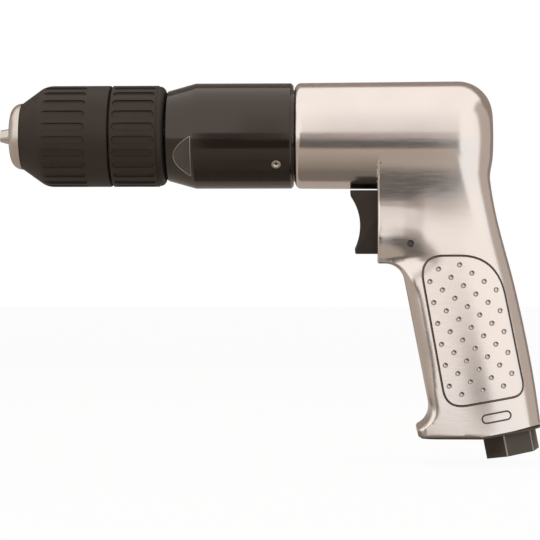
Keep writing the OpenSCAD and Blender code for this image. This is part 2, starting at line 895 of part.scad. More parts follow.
// The dowel sits in the thick side of the cylinder wall
module at_dowel() {
  translate([0, 0, liner_r - (liner_wall + 2 * eccentricity) / 2]) children();
}

module cylinder_dowel() {
  color("silver") at_dowel() rod_x(liner_x - end_plate_wall, rear_plate_x + end_plate_wall, dowel_r());
}

// End plate: a wall beside the rotor and a pocket for the bearing
module end_plate(x_wall, x_pocket) {
  x0 = min(x_wall, x_pocket);
  difference() {
    rod_x(x0, x0 + end_plate_t, liner_r);
    rod_x(x0 - past, x0 + end_plate_t + past, rotor_shaft_d / 2 + 0.4);
    rod_x(x_pocket, x_pocket + rotor_bearing_w, rotor_bearing_d / 2 + fit);
    at_dowel() rod_x(x0 - past, x0 + end_plate_t + past, dowel_r() + fit);
  }
}

module front_end_plate() {
  color("darkgray") end_plate(motor_x + rotor_bearing_w, motor_x);
}

module rear_end_plate() {
  port_w = 8;
  color("darkgray")
    difference() {
      end_plate(rear_plate_x, rear_plate_x + end_plate_wall);
      translate([rear_plate_x - past, -port_w / 2, -motor_bore_r - past])
        cube([end_plate_t / 2 + past, port_w, motor_bore_r - rotor_bearing_d / 2 - 2]);
    }
}

module motor_gasket() {
  color("tan") ring_x(rear_plate_x + end_plate_t, bore_end_x, rotor_bearing_d / 2 - 2, liner_r);
}

module rotor_bearing(x) {
  color("silver") outer_race(rotor_shaft_d / 2, rotor_bearing_d / 2, x, rotor_bearing_w, 7);
}

module rotor_race(x) {
  color("silver") inner_race(rotor_shaft_d / 2, rotor_bearing_d / 2, x, rotor_bearing_w);
}

module front_rotor_bearing() rotor_bearing(motor_x);
module rear_rotor_bearing() rotor_bearing(rear_plate_x + end_plate_wall);
module front_rotor_race() rotor_race(motor_x);
module rear_rotor_race() rotor_race(rear_plate_x + end_plate_wall);

// Housing: a turned barrel and a lofted grip

// Back of the grip behind the handle axis, by share of the drop
function back_offset(z) =
  curve_at(
    [
      [0, axis_setback - barrel_overlap],
      [0.13, grip_back - 1.7],
      [0.27, grip_back - 2.2],
      [0.5, grip_back - 0.2],
      [0.75, grip_back + 0.4],
      [1, grip_back - 0.8]
    ],
    -z / handle_drop
  );

// Front of the grip: the block, the hollow under it, the grip and the flare of the foot
function front_at(z) =
  let (
    grip = axis_at(z) - grip_front,
    down = -lip_drop - z,
    lip = lip_r - sqrt(max(0, pow(lip_r, 2) - pow(lip_r - min(lip_r, max(0, down)), 2))),
    toe = toe_z - z,
    flare = toe_r - sqrt(pow(toe_r, 2) - pow(min(toe_drop, max(0, toe)), 2)),
    up = min(block_corner_r, max(0, -down)),
    corner = block_corner_r - sqrt(pow(block_corner_r, 2) - pow(block_corner_r - up, 2))
  )
  down <= 0 ? block_x + corner : grip - lip - flare;

// Half width: upright sides, with a hollow blend that runs up into the barrel
function half_width(z) =
  z > -blend_top
    ? sqrt(pow(blend_from_r, 2) - z * z)
    : grip_w / 2 + blend_r - sqrt(pow(blend_r, 2) - pow(max(0, blend_drop + z), 2));
function front_radius(z) = mix(block_edge_r, grip_front_r, ease((-lip_drop - z) / lip_r));
function back_radius(z) = mix(grip_back_r, barrel_corner_r + 1, pow(max(0, 1 + z / back_r_drop), 2));

// Level section of the grip at height z, drawn in by inset
function grip_section(z, inset) =
  let (
    w = half_width(z) - inset,
    xf = front_at(z) + inset,
    xb = axis_at(z) + back_offset(z) - inset,
    rf = max(0.3, front_radius(z) - inset),
    rb = max(0.3, back_radius(z) - inset),
    steps = 6,
    plan = concat(
      arc([xb - rb, w - rb], rb, 0, 90, steps),
      arc([xf + rf, w - rf], rf, 90, 180, steps),
      arc([xf + rf, -w + rf], rf, 180, 270, steps),
      arc([xb - rb, -w + rb], rb, 270, 360, steps)
    )
  )
  [for (p = plan) [p[0], p[1], z]];

// Heights of the sections: close together where the front curves
grip_levels = concat(
  [0, -blend_top / 2],
  [for (i = [0:5]) -mix(blend_top, blend_drop, i / 5)],
  [for (i = [1:4]) -mix(blend_drop, lip_drop - block_corner_r, i / 4)],
  [for (a = [25:20:85]) -lip_drop + block_corner_r * (1 - sin(a))],
  [-lip_drop + 0.001],
  [for (a = [8:14:92]) -lip_drop - lip_r * (1 - cos(min(90, a)))],
  [for (i = [1:5]) mix(-lip_drop - lip_r, toe_z, i / 6)],
  [for (i = [0:6]) toe_z - toe_drop * sin(15 * i)],
  [foot_z - 2]
);

module grip_loft(inset = 0) {
  sections = [for (z = grip_levels) grip_section(z, inset)];
  n = len(sections[0]);
  rows = len(sections);
  polyhedron(
    points = [for (s = sections, p = s) p],
    faces = concat(
      [[for (i = [n - 1:-1:0]) i]],
      [for (j = [0:rows - 2], i = [0:n - 1])
        let (a = j * n + i, b = j * n + (i + 1) % n) [a, b, b + n]],
      [for (j = [0:rows - 2], i = [0:n - 1])
        let (a = j * n + i, b = j * n + (i + 1) % n) [a, b + n, a + n]],
      [[for (i = [0:n - 1]) (rows - 1) * n + i]]
    )
  );
}

// Everything below the foot: the level face and the inlet seat, raised by lift
module below_foot(lift) {
  size = 2 * handle_drop;
  translate([0, -size / 2, foot_z + lift - size]) cube([2 * size, size, size]);
  on_handle() translate([-size / 2, -size / 2, -handle_len + lift - size]) cube(size);
}

// Radius of the barrel's taper at x
function barrel_r_at(x) =
  mix(barrel_d / 2, barrel_rear_d / 2, (x - barrel_x) / (barrel_len - barrel_corner_r));

module barrel() {
  r0 = barrel_d / 2;
  r1 = barrel_rear_d / 2;
  c = barrel_corner_r;
  e = barrel_edge_r;
  corner_x = barrel_end_x - c;
  revolve_x() {
    polygon([
      [0, barrel_x],
      [r0 - e, barrel_x],
      [r0, barrel_x + e],
      [r1, corner_x],
      [r1 - c, barrel_end_x],
      [0, barrel_end_x]
    ]);
    translate([r0 - e, barrel_x + e]) mirror([0, 1]) quarter_disc(e);
    translate([r1 - c, corner_x]) quarter_disc(c);
  }
}

// Room for the trigger, its tongue and its rod
module trigger_room() {
  side = run + 0.15;
  tongue_room = pin_setback + trigger_pin_d / 2 + tongue_tail + trigger_travel + 0.6;
  translate([block_x - past, -trigger_w / 2 - side, -trigger_bottom - side])
    cube([pocket_depth + past, trigger_w + 2 * side, trigger_h + 2 * side]);
  translate([block_x, -tongue_w / 2 - side, -pin_drop - tongue_h / 2 - side])
    cube([tongue_room, tongue_w + 2 * side, tongue_h + 2 * side]);
  translate([0, 0, -rod_drop]) rod_x(block_x, rod_meets_x + rod_room, rod_r + side);
}

// Air way: inlet shank, valve chamber and passage to the motor
module air_way() {
  handle_rod(motor_bore_r * 0.8, seat_depth, passage_r);
  handle_rod(seat_depth - seat_t, handle_len + past, chamber_d / 2);
}

// Exhaust way: two ducts from the motor and a chamber down to the foot
module exhaust_way() {
  on_handle() {
    for (side = [-1, 1])
      translate([-duct_in, side * duct_y, -exhaust_top - past])
        cylinder(h = exhaust_top + past - motor_bore_r * 0.75, r = duct_r);
    translate([-exhaust_in - exhaust_depth, -exhaust_half_w, -handle_len - 2 * past])
      cube([exhaust_depth, 2 * exhaust_half_w, handle_len + 2 * past - exhaust_top]);
  }
}

module trigger_pin_rod(length, r) {
  translate([block_x + pin_setback, 0, -pin_drop])
    rotate([90, 0, 0])
    cylinder(h = length, r = r, center = true);
}

module housing() {
  color("#b9b0a4")
    difference() {
      union() {
        barrel();
        difference() {
          grip_loft();
          below_foot(deflector_t);
        }
      }
      rod_x(barrel_x - past, bore_end_x, motor_bore_r);
      trigger_room();
      trigger_pin_rod(2 * grip_w, trigger_pin_d / 2);
      air_way();
      exhaust_way();
    }
}

// Trigger and throttle

module trigger() {
  front_x = block_x - trigger_reach;
  back_x = block_x + pocket_depth - trigger_travel - 1;
  low_z = -trigger_bottom;
  dish_in = 4.2;
  dish_z = trigger_h * 0.44;
  heel_in = 2.2;
  rod_end_x = rod_meets_x - stem_r / cos(handle_tilt) - rod_r * tan(handle_tilt) - rod_gap;
  slot_x = block_x + pin_setback;
  slot_r = trigger_pin_d / 2 + run;
  clear_r = barrel_r_at(block_x) + trigger_gap;
  color("#2f2926")
    difference() {
      union() {
        extrude_y(trigger_w)
          difference() {
            polygon([
              [front_x, -trigger_top],
              [back_x, -trigger_top],
              [back_x, low_z],
              [front_x + heel_in, low_z]
            ]);
            translate([front_x + dish_in - trigger_dish_r, low_z + dish_z]) circle(r = trigger_dish_r);
          }
        extrude_y(tongue_w)
          translate([back_x - past, -pin_drop - tongue_h / 2])
          square([slot_x + slot_r + tongue_tail - back_x + past, tongue_h]);
        translate([0, 0, -rod_drop]) rod_x(back_x - past, rod_end_x, rod_r);
      }
      extrude_y(2 * trigger_w) {
        translate([slot_x - trigger_travel, -pin_drop - slot_r]) square([trigger_travel, 2 * slot_r]);
        translate([slot_x - trigger_travel, -pin_drop]) circle(r = slot_r);
        translate([slot_x, -pin_drop]) circle(r = slot_r);
      }
      rod_x(front_x - past, block_x, clear_r);
    }
}

module trigger_pin() {
  color("dimgray") trigger_pin_rod(grip_w - 1, trigger_pin_d / 2);
}

module throttle_valve() {
  color("goldenrod") {
    handle_rod(seat_depth + fit, seat_depth + disc_t, valve_disc_d / 2);
    handle_rod(rod_drop / cos(handle_tilt) - stem_top, seat_depth + disc_t, stem_r);
  }
}

module valve_seat() {
  color("peru")
    difference() {
      handle_rod(seat_depth - seat_t, seat_depth, chamber_d / 2 - fit);
      handle_rod(seat_depth - seat_t - past, seat_depth + past, seat_hole_r);
    }
}

// Wire swept along a helix with closed ends
module valve_spring() {
  top = seat_depth + disc_t + spring_wire / 2 + run;
  bottom = handle_len - shank_len - screen_h - spring_wire / 2 - run;
  rings = 8 * spring_turns;
  sides = 6;
  function wire_at(i, s) =
    let (
      a = i * 45,
      z = -mix(top, bottom, i / rings),
      r = spring_r + spring_wire / 2 * cos(s * 60)
    )
    [r * cos(a), r * sin(a), z + spring_wire / 2 * sin(s * 60)];
  color("gray")
    on_handle()
    polyhedron(
      points = [for (i = [0:rings], s = [0:sides - 1]) wire_at(i, s)],
      faces = concat(
        [[for (s = [0:sides - 1]) s]],
        [for (i = [0:rings - 1], s = [0:sides - 1])
          let (a = i * sides + s, b = i * sides + (s + 1) % sides) [a, a + sides, b + sides]],
        [for (i = [0:rings - 1], s = [0:sides - 1])
          let (a = i * sides + s, b = i * sides + (s + 1) % sides) [a, b + sides, b]],
        [[for (s = [sides - 1:-1:0]) rings * sides + s]]
      )
    );
}

// Thimble with rows of holes
module inlet_screen() {
  top = handle_len - shank_len - screen_h;
  bottom = handle_len - shank_len;
  rows = 5;
  color("lightgray")
    difference() {
      union() {
        handle_rod(top, bottom, screen_r);
        handle_rod(bottom - screen_wall, bottom, chamber_d / 2 - fit);
      }
      handle_rod(top + screen_wall, bottom + past, screen_r - screen_wall);
      on_handle()
        for (i = [1:rows], k = [0:5])
          translate([0, 0, -mix(top, bottom, i / (rows + 1))])
            rotate([0, 90, k * 60 + i * 30])
            cylinder(h = 2 * screen_r, r = screen_h / 24, $fn = 24);
    }
}

module inlet_bushing() {
  color("#2d2825")
    difference() {
      union() {
        handle_rod(handle_len - shank_len, handle_len + past, shank_r);
        on_handle()
          translate([0, 0, -handle_len - hex_h])
          rotate(30)
          cylinder(h = hex_h - run, r = hex_across / 2 / cos(30), $fn = 6);
      }
      handle_rod(handle_len - shank_len - past, handle_len + hex_h, shank_bore_r);
      handle_rod(handle_len, handle_len + hex_h + past, inlet_d / 2);
    }
}

module exhaust_silencer() {
  room = 0.2;
  color("#5a5148")
    difference() {
      on_handle()
        translate([-exhaust_in - exhaust_depth + room, -exhaust_half_w + room, -handle_len - 2 * past])
        cube([exhaust_depth - 2 * room, 2 * (exhaust_half_w - room), handle_len * 0.3]);
      below_foot(deflector_t + room);
    }
}

// Thin plate under the foot, with slots below the exhaust chamber
module exhaust_deflector() {
  slots = 4;
  slot_w = 2;
  slot_pitch = 3.4;
  slot_half_len = exhaust_half_w * 0.7;
  below = handle_drop + handle_len;
  color("#241f1d")
    difference() {
      intersection() {
        grip_loft(0.3);
        below_foot(deflector_t);
      }
      below_foot(0);
      handle_rod(exhaust_top, below, chamber_d / 2 + run);
      on_handle()
        for (i = [0:slots - 1])
          translate([-exhaust_in - exhaust_depth + 1 + i * slot_pitch, -slot_half_len, -below])
            cube([slot_w, 2 * slot_half_len, below - exhaust_top]);
    }
}

nose_ring();
front_sleeve();
rear_sleeve();
chuck_body();
jaw_nut();
nut_bearing();
chuck_screw();
jaw_1();
jaw_2();
jaw_3();
spindle();
output_planet_pins();
output_planet_1();
output_planet_2();
output_planet_3();
gear_head();
input_planet_pins();
input_planet_1();
input_planet_2();
input_planet_3();
gear_case();
grease_fitting();
ring_gear();
ring_gear_spacer();
spindle_seal();
front_spindle_bearing();
front_spindle_race();
rear_spindle_bearing();
rear_spindle_race();
bearing_spacer();
bearing_snap_ring();
rotor();
vane_1();
vane_2();
vane_3();
vane_4();
vane_5();
motor_cylinder();
cylinder_dowel();
front_end_plate();
rear_end_plate();
motor_gasket();
front_rotor_bearing();
front_rotor_race();
rear_rotor_bearing();
rear_rotor_race();
housing();
trigger();
trigger_pin();
throttle_valve();
valve_seat();
valve_spring();
inlet_screen();
inlet_bushing();
exhaust_silencer();
exhaust_deflector();
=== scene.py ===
"""Looks of a pistol-grip air drill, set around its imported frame.

Sizes are in millimetres in the frame of the part: the spindle runs along X, the chuck points to -X,
Z is up and the origin is at the nose of the chuck. Meshes are written in metres.
"""

import json
import math

import bmesh
import bpy
import numpy as np
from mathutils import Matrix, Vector


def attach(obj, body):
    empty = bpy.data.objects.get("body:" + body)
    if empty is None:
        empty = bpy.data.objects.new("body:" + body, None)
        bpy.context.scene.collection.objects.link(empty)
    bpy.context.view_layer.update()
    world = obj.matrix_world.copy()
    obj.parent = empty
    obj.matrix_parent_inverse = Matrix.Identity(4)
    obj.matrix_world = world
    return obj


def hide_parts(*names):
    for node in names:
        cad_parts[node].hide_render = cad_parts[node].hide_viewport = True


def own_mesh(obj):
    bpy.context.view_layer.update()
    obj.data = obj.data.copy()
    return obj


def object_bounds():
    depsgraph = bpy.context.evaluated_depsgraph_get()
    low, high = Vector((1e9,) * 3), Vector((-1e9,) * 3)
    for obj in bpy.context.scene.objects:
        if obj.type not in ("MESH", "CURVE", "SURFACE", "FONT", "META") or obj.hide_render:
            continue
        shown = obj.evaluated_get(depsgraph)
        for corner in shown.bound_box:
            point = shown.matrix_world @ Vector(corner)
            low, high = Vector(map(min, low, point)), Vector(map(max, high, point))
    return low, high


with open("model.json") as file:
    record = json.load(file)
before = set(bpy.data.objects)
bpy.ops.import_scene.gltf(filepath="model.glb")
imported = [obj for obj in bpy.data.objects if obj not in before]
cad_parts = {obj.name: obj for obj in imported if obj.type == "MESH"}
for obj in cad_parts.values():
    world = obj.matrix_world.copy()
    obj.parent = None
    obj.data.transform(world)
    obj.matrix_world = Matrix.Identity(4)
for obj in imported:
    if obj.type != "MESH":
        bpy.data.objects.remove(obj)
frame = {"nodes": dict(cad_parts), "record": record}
cad_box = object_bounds()
NODES = frame["nodes"]
SLOT_OF = {part["node"]: part["material_slot"] for part in frame["record"]["subparts"]}
BODY_OF = {node: body for body, nodes in frame["record"]["behaviour"]["bodies"].items() for node in nodes}
MM = 0.001

# Photograph: its width in pixels, the millimetres of a pixel, its middle in X-Z, and the camera
PHOTO_PX = 540
PX = 0.42333
PHOTO_MID = (109.9, -56.7)
CAMERA = (152.0, -950.0, PHOTO_MID[1])
CAMERA_DISTANCE = math.hypot(CAMERA[0] - PHOTO_MID[0], CAMERA[1])
CAMERA_TURN = math.atan2(CAMERA[0] - PHOTO_MID[0], -CAMERA[1])

# Barrel
BARREL_X, BARREL_END = 120.6, 203.6
BARREL_R, BARREL_REAR_R = 22.3, 22.75
BARREL_CORNER, BARREL_EDGE = 14.5, 2.6
MOTOR_BORE_R, MOTOR_BORE_END = 19.43, 194.1

# Grip: its axis and outline; rows of its back are (share of the length, distance behind the axis)
HANDLE_X0, HANDLE_TILT = 186.4, math.radians(11)
TILT_SIN, TILT_COS = math.sin(HANDLE_TILT), math.cos(HANDLE_TILT)
HANDLE_LEN, FOOT_Z, DEFLECTOR_T = 127.0, -127.0, 0.8
GRIP_HALF, GRIP_FRONT, GRIP_BACK = 16.5, 31.4, 14.2
BLOCK_X, LIP_Z, LIP_R = 155.4, -54.0, 6.5
TOE_R, TOE_TIP_R, TOE_OUT, TOE_Z = 10.5, 2.0, 7.2, -112.5
BACK_ROWS = [(0, 14.5), (0.13, 12.5), (0.27, 12.0), (0.5, 14.0), (0.75, 14.6), (1, 13.4)]

# Grip: radii of its edges; spans, here and below, say where a change starts and where it ends
BLOCK_EDGE_R, GRIP_FRONT_R, GRIP_BACK_R, TOE_EDGE_R, FOOT_EDGE_R = 0.9, 5.2, 9.0, 3.2, 0.8
GRIP_EDGE_Z, TOE_EDGE_Z = (LIP_Z + 4, LIP_Z - 8 - LIP_R), (-90.0, -115.0)
EDGE_ACROSS, LEVEL_TOE_Z = (-8.0, 8.0), (-85.0, -95.0)
BACK_EDGE_REACH = 50.0

# Grip: hollow run up to the barrel, lean and roundings of the sides, palm swell
BLEND_R, BACK_BLEND, BACK_BLEND_X = 65.0, 3.5, (188.0, 202.0)
SIDE_LEAN, LEAN_Z = math.radians(3.3), (-28.0, -44.0)
HEEL_ROUND_R, HEEL_Z = 150.0, (-14.0, -24.0)
HEEL_FROM, HEEL_FROM_TOP, HEEL_FROM_Z = -6.0, 0.5, (-52.0, -28.0)
LIP_ROUND_R, LIP_ROUND_IN, LIP_ROUND_ALONG, LIP_ROUND_Z = 53.0, 18.7, -8.0, (-66.0, -51.0)
BLOCK_IN, BLOCK_IN_X, BLOCK_IN_TOP_Z, BLOCK_IN_LOW_Z = 0.32, (175.0, 166.0), (-20.0, -30.0), (-62.0, -52.0)
SWELL_ALONG, SWELL_Z, SWELL_HEIGHT = 0.0, -110.0, 1.1
SWELL_SPREAD, SWELL_SPREAD_UP, SWELL_SPREAD_DOWN = 8.7, 36.0, 15.0

# Housing mesh: its room, the grid, and the edges that are split where it bends
SKIN_LOW, SKIN_HIGH, SKIN_STEP = (118.0, -26.0, -131.0), (227.0, 26.0, 26.0), 1.15
SPLIT_LENGTHS, SPLIT_BEND = (0.7, 0.4), math.radians(16)

# Trigger, pin, air ways, exhaust room and inlet
TRIGGER_TOP, TRIGGER_H, TRIGGER_W = -23.2, 26.7, 14.6
TRIGGER_REACH, POCKET_DEPTH, TRIGGER_TRAVEL = 11.6, 11.5, 4.5
TRIGGER_GAP = 0.25
PIN_X, PIN_Z, PIN_R = 169.0, -45.7, 1.4
TONGUE_W, TONGUE_H, TONGUE_END = 7.0, 8.0, 173.9
ROD_Z, ROD_R, ROD_END = -35.95, 2.8, 191.32
DISH_R, DISH_IN, DISH_Z, HEEL_IN = 22.0, 4.2, -38.15, 2.2
CHAMBER_R, PASSAGE_R, SEAT_DEPTH = 8.5, 7.5, 61.0
EXHAUST_DEPTH, EXHAUST_OUT, EXHAUST_HALF = (67.0, 132.0), (-26.0, -12.0), 10.0
PIN_BELOW = 1.6
HEX_TURN, HEX_SHARE, HEX_INNER_R, HEX_CORNER_R = math.radians(-15), 0.95, 9.9, 11.35

# Chuck sleeves and their grip slots
SLEEVE_R, SLEEVE_FRONT, SLEEVE_SPLIT, SLEEVE_REAR, CHUCK_END = 21.4, 4.8, 42.9, 43.5, 66.0
SLEEVE_NOSE_R, SLEEVE_EDGE = 14.0, 0.4
SLEEVE_ROUND_END, SLEEVE_ROUND_R, SLEEVE_CONE = 18.22, 9.0, 34.7
CHUCK_BODY_R, JAW_ROOM_R = 17.6, 18.6
FRONT_BORE = [(SLEEVE_SPLIT, 17.9), (27.96, 17.9), (27.96, 17.5), (20.96, 17.5), (7.7, 13.0), (7.7, 11.0)]
SLOT_COUNT = 24
SLOT_LAYERS = [(20.65, 1.4), (20.75, 1.55), (21.2, 1.65), (21.45, 1.9), (23.0, 3.3)]
FRONT_SLOTS, REAR_SLOTS = (15.9, 31.6), (46.4, 60.5)
REAR_BAND, REAR_CORNER_R, REAR_STEP = 3.0, 2.7, 0.3
# Shares of painted shade on the walls of the grip slots and on the rear corner band of the sleeves
SLOT_SHADE, REAR_SHADE = 0.7, 0.45

# Gear case: its cone as (x, radius), and the wrench flats on it
CASE_NOSE, CASE_EDGE = (67.2, 19.05), (78.7, 22.25)
# FLAT_LINE_R is the radius of the bright line painted as the highlight along the flats' edges
FLAT_ACROSS, FLAT_CLOCK, FLAT_END, FLAT_LINE_R = 39.8, math.radians(28), 77.5, 0.15


# Meshes


def placed(name, mesh):
    """Object of a mesh, at the origin."""
    obj = bpy.data.objects.new(name, mesh)
    bpy.context.scene.collection.objects.link(obj)
    return obj


def new_mesh(name, points, faces):
    """Mesh object from points in millimetres."""
    mesh = bpy.data.meshes.new(name)
    mesh.from_pydata((np.asarray(points, float) * MM).tolist(), [], [list(map(int, f)) for f in faces])
    mesh.update()
    return placed(name, mesh)


def smooth(obj, angle):
    """Smooth shading, with edges sharper than the angle left sharp."""
    obj.data.polygons.foreach_set("use_smooth", [True] * len(obj.data.polygons))
    obj.data.set_sharp_from_angle(angle=math.radians(angle))


def bake(obj):
    """Turns the modifiers of an object into its plain mesh."""
    bpy.context.view_layer.update()
    graph = bpy.context.evaluated_depsgraph_get()
    mesh = bpy.data.meshes.new_from_object(obj.evaluated_get(graph), depsgraph=graph)
    old = obj.data
    obj.modifiers.clear()
    obj.data = mesh
    mesh.name = obj.name
    bpy.data.meshes.remove(old)


def cut(obj, tools, operation="DIFFERENCE"):
    """Boolean of an object with others, which are used up."""
    for tool in tools:
        modifier = obj.modifiers.new("cut", "BOOLEAN")
        modifier.operation = operation
        modifier.solver = "MANIFOLD"
        modifier.object = tool
    bake(obj)
    for tool in tools:
        mesh = tool.data
        bpy.data.objects.remove(tool)
        bpy.data.meshes.remove(mesh)


def outward(obj):
    """Merges doubles and turns all faces outward."""
    form = bmesh.new()
    form.from_mesh(obj.data)
    bmesh.ops.remove_doubles(form, verts=form.verts, dist=1e-7)
    bmesh.ops.recalc_face_normals(form, faces=form.faces)
    form.to_mesh(obj.data)
    form.free()
    return obj


def lofted(name, points, n, closed=False):
    """Closed solid over rings of n points, closed to a loop or capped at both ends."""
    count, faces = len(points) // n, []
    for k in range(count if closed else count - 1):
        a, b = k * n, (k + 1) % count * n
        faces += [(a + i, a + (i + 1) % n, b + (i + 1) % n, b + i) for i in range(n)]
    if not closed:
        faces += [range(n), range(len(points) - n, len(points))]
    return outward(new_mesh(name, points, faces))


def extruded(name, outline, low, high):
    """Closed prism of an outline in X-Z between two places in Y."""
    return lofted(name, [(x, y, z) for y in (low, high) for x, z in outline], len(outline))


def block(name, x, z, width):
    """Closed block between two places in X and two in Z."""
    (left, right), (low, high) = x, z
    outline = [(left, low), (right, low), (right, high), (left, high)]
    return extruded(name, outline, -width / 2, width / 2)


def turned(name, profile, steps):
    """Solid turned about the spindle from a closed profile of (x, radius)."""
    turns = [2 * math.pi * k / steps for k in range(steps)]
    points = [(x, r * math.sin(a), r * math.cos(a)) for a in turns for x, r in profile]
    return lofted(name, points, len(profile), True)


def rod(name, start, end, radius, steps=64):
    """Closed cylinder between two points."""
    start, end = Vector(start), Vector(end)
    across = (end - start).to_track_quat("Z", "Y").to_matrix()
    turns = np.linspace(0, 2 * math.pi, steps + 1)[:-1]
    ring = [Vector((radius * math.cos(a), radius * math.sin(a), 0)) for a in turns]
    return lofted(name, [tuple(middle + across @ p) for middle in (start, end) for p in ring], steps)


def arc(centre, radius, start, end, steps):
    """Points of an arc; angles in degrees."""
    turn = np.radians(np.linspace(start, end, steps + 1))
    return [(centre[0] + radius * math.cos(a), centre[1] + radius * math.sin(a)) for a in turn]


def slot_outline(start, end, height, radius, steps):
    """Outline with two round ends, whose middles lie at a height."""
    return arc((end, height), radius, -90, 90, steps) + arc((start, height), radius, 90, 270, steps)


def loop_tube(name, path, out, radius, around=8):
    """Tube along a closed path that lies across one outward direction."""
    along = np.roll(path, -1, 0) - np.roll(path, 1, 0)
    out = np.array(out)
    across = np.cross(along, out)
    across /= np.linalg.norm(across, axis=1)[:, None]
    turns = [2 * math.pi * k / around for k in range(around)]
    points = [p + radius * (math.cos(a) * c + math.sin(a) * out) for p, c in zip(path, across) for a in turns]
    return lofted(name, points, around, True)


def store_light_and_tone(obj, values_at, domain="POINT"):
    """Stores, from its place in millimetres, how far each point or face of a mesh turns to a second colour,
    used for painted shade, painted highlights and own lighter tones.
    """
    items, place = (obj.data.vertices, "co") if domain == "POINT" else (obj.data.polygons, "center")
    points = np.empty(3 * len(items))
    items.foreach_get(place, points)
    values = np.asarray(values_at(points.reshape(-1, 3) / MM), np.float32)
    obj.data.attributes.new("recess", "FLOAT", domain).data.foreach_set("value", values)


def on_handle(depth, out=0.0):
    """Point of the handle axis at a depth below the spindle, moved back by out."""
    return (HANDLE_X0 + depth * TILT_SIN + out * TILT_COS, 0.0, -depth * TILT_COS + out * TILT_SIN)


# Housing: an implicit skin, meshed and drawn onto its exact surface


def eased(value, span):
    """Goes smoothly from 0 to 1 while a value runs through a span."""
    t = np.clip((value - span[0]) / (span[1] - span[0]), 0, 1)
    return t * t * (3 - 2 * t)


def curve_through(rows, p):
    """Smooth curve through (place, value) rows."""
    place, value = np.array(rows, float).T
    slope = np.gradient(value, place, edge_order=1)
    slope[1:-1] = (value[2:] - value[:-2]) / (place[2:] - place[:-2])
    i = np.clip(np.searchsorted(place, p) - 1, 0, len(place) - 2)
    h = place[i + 1] - place[i]
    t = (p - place[i]) / h
    base = value[i] + (value[i + 1] - value[i]) * t * t * (3 - 2 * t)
    return base + h * slope[i] * t * (1 - t) ** 2 - h * slope[i + 1] * t * t * (1 - t)


def axis_at(z):
    return HANDLE_X0 - z * math.tan(HANDLE_TILT)


def back_at(z):
    return axis_at(z) + curve_through(BACK_ROWS, np.clip(-z / -FOOT_Z, 0, 1))


TOE_TURN = math.acos(1 - TOE_OUT / (TOE_R + TOE_TIP_R))
TOE_DROP = (TOE_R + TOE_TIP_R) * math.sin(TOE_TURN)


def toe_at(z):
    """How far the toe reaches forward: a hollow curve that ends in a round tip."""
    down = np.clip(TOE_Z - z, 0, TOE_DROP)
    hollow = np.minimum(down, TOE_R * math.sin(TOE_TURN))
    tip = math.sin(TOE_TURN) - (down - hollow) / TOE_TIP_R
    return TOE_R - np.sqrt(TOE_R**2 - hollow**2) + TOE_TIP_R * (np.sqrt(1 - tip**2) - math.cos(TOE_TURN))


def front_at(z):
    """Front of the grip below the trigger block."""
    down = np.clip(LIP_Z - z, 0, LIP_R)
    lip = LIP_R - np.sqrt(LIP_R**2 - (LIP_R - down) ** 2)
    return axis_at(z) - GRIP_FRONT - lip - toe_at(z)


def grip_outline():
    """Side outline of the grip, with the block run on forward past its front face."""
    forward, below, top = 30.0, 8.0, 18.0
    lip = LIP_Z - LIP_R * (1 - np.cos(np.radians(np.arange(0, 91, 9))))
    grip = np.linspace(LIP_Z - LIP_R - 2, TOE_Z, 24)
    toe = np.linspace(TOE_Z, TOE_Z - TOE_DROP, 31)[1:]
    front = np.concatenate([lip, grip, toe, [FOOT_Z - below]])
    back = np.linspace(FOOT_Z - below, top, 60)
    points = [(BLOCK_X - forward, top), (BLOCK_X - forward, LIP_Z)]
    return np.array(points + list(zip(front_at(front), front)) + list(zip(back_at(back), back)))


def field(outline, low, high, step):
    """Reader of the distance to a closed outline, negative inside, which is kept on a fine grid."""
    x, z = np.meshgrid(*(np.arange(start, end, step) for start, end in zip(low, high)), indexing="ij")
    best, inside = np.full(x.shape, 1e9), np.zeros(x.shape, bool)
    for (ax, az), (bx, bz) in zip(outline, np.roll(outline, -1, 0)):
        dx, dz = bx - ax, bz - az
        t = np.clip(((x - ax) * dx + (z - az) * dz) / max(dx * dx + dz * dz, 1e-12), 0, 1)
        best = np.minimum(best, (x - ax - t * dx) ** 2 + (z - az - t * dz) ** 2)
        if dz:
            inside ^= ((az > z) != (bz > z)) & (x < ax + (z - az) * dx / dz)
    kept = np.where(inside, -1, 1) * np.sqrt(best)

    def read(x, z):
        u = np.clip((x - low[0]) / step, 0, kept.shape[0] - 1.001)
        v = np.clip((z - low[1]) / step, 0, kept.shape[1] - 1.001)
        i, j = u.astype(int), v.astype(int)
        u, v = u - i, v - j
        near = kept[i, j] * (1 - u) + kept[i + 1, j] * u
        far = kept[i, j + 1] * (1 - u) + kept[i + 1, j + 1] * u
        return near * (1 - v) + far * v

    return read


side_outline = field(grip_outline(), (115, -142), (236, 28), 0.4)


def round_both(a, b, r):
    """Overlap of two half spaces whose edge has radius r."""
    a, b = a + r, b + r
    return np.hypot(np.maximum(a, 0), np.maximum(b, 0)) + np.minimum(np.maximum(a, b), 0) - r


def barrel_r(x):
    return np.interp(x, (BARREL_X + BARREL_EDGE, BARREL_END - BARREL_CORNER), (BARREL_R, BARREL_REAR_R))


def barrel_skin(x, y, z):
    rear = x > (BARREL_X + BARREL_END) / 2
    end = np.where(rear, x - BARREL_END, BARREL_X - x)
    return round_both(end, np.hypot(y, z) - barrel_r(x), np.where(rear, BARREL_CORNER, BARREL_EDGE))


def half_width(x, z):
    """Half width of the grip: upright sides, and a hollow blend up to the barrel."""
    r = barrel_r(x)
    centre = np.sqrt((r + BLEND_R) ** 2 - (GRIP_HALF + BLEND_R) ** 2)
    touch = -centre * r / (r + BLEND_R)
    rise = np.clip(z + centre, 0, centre + touch)
    blend = GRIP_HALF + BLEND_R - np.sqrt(BLEND_R**2 - rise**2)
    return np.where(z > touch, np.sqrt(np.maximum(r * r - z * z, 1)) - 0.03, blend)


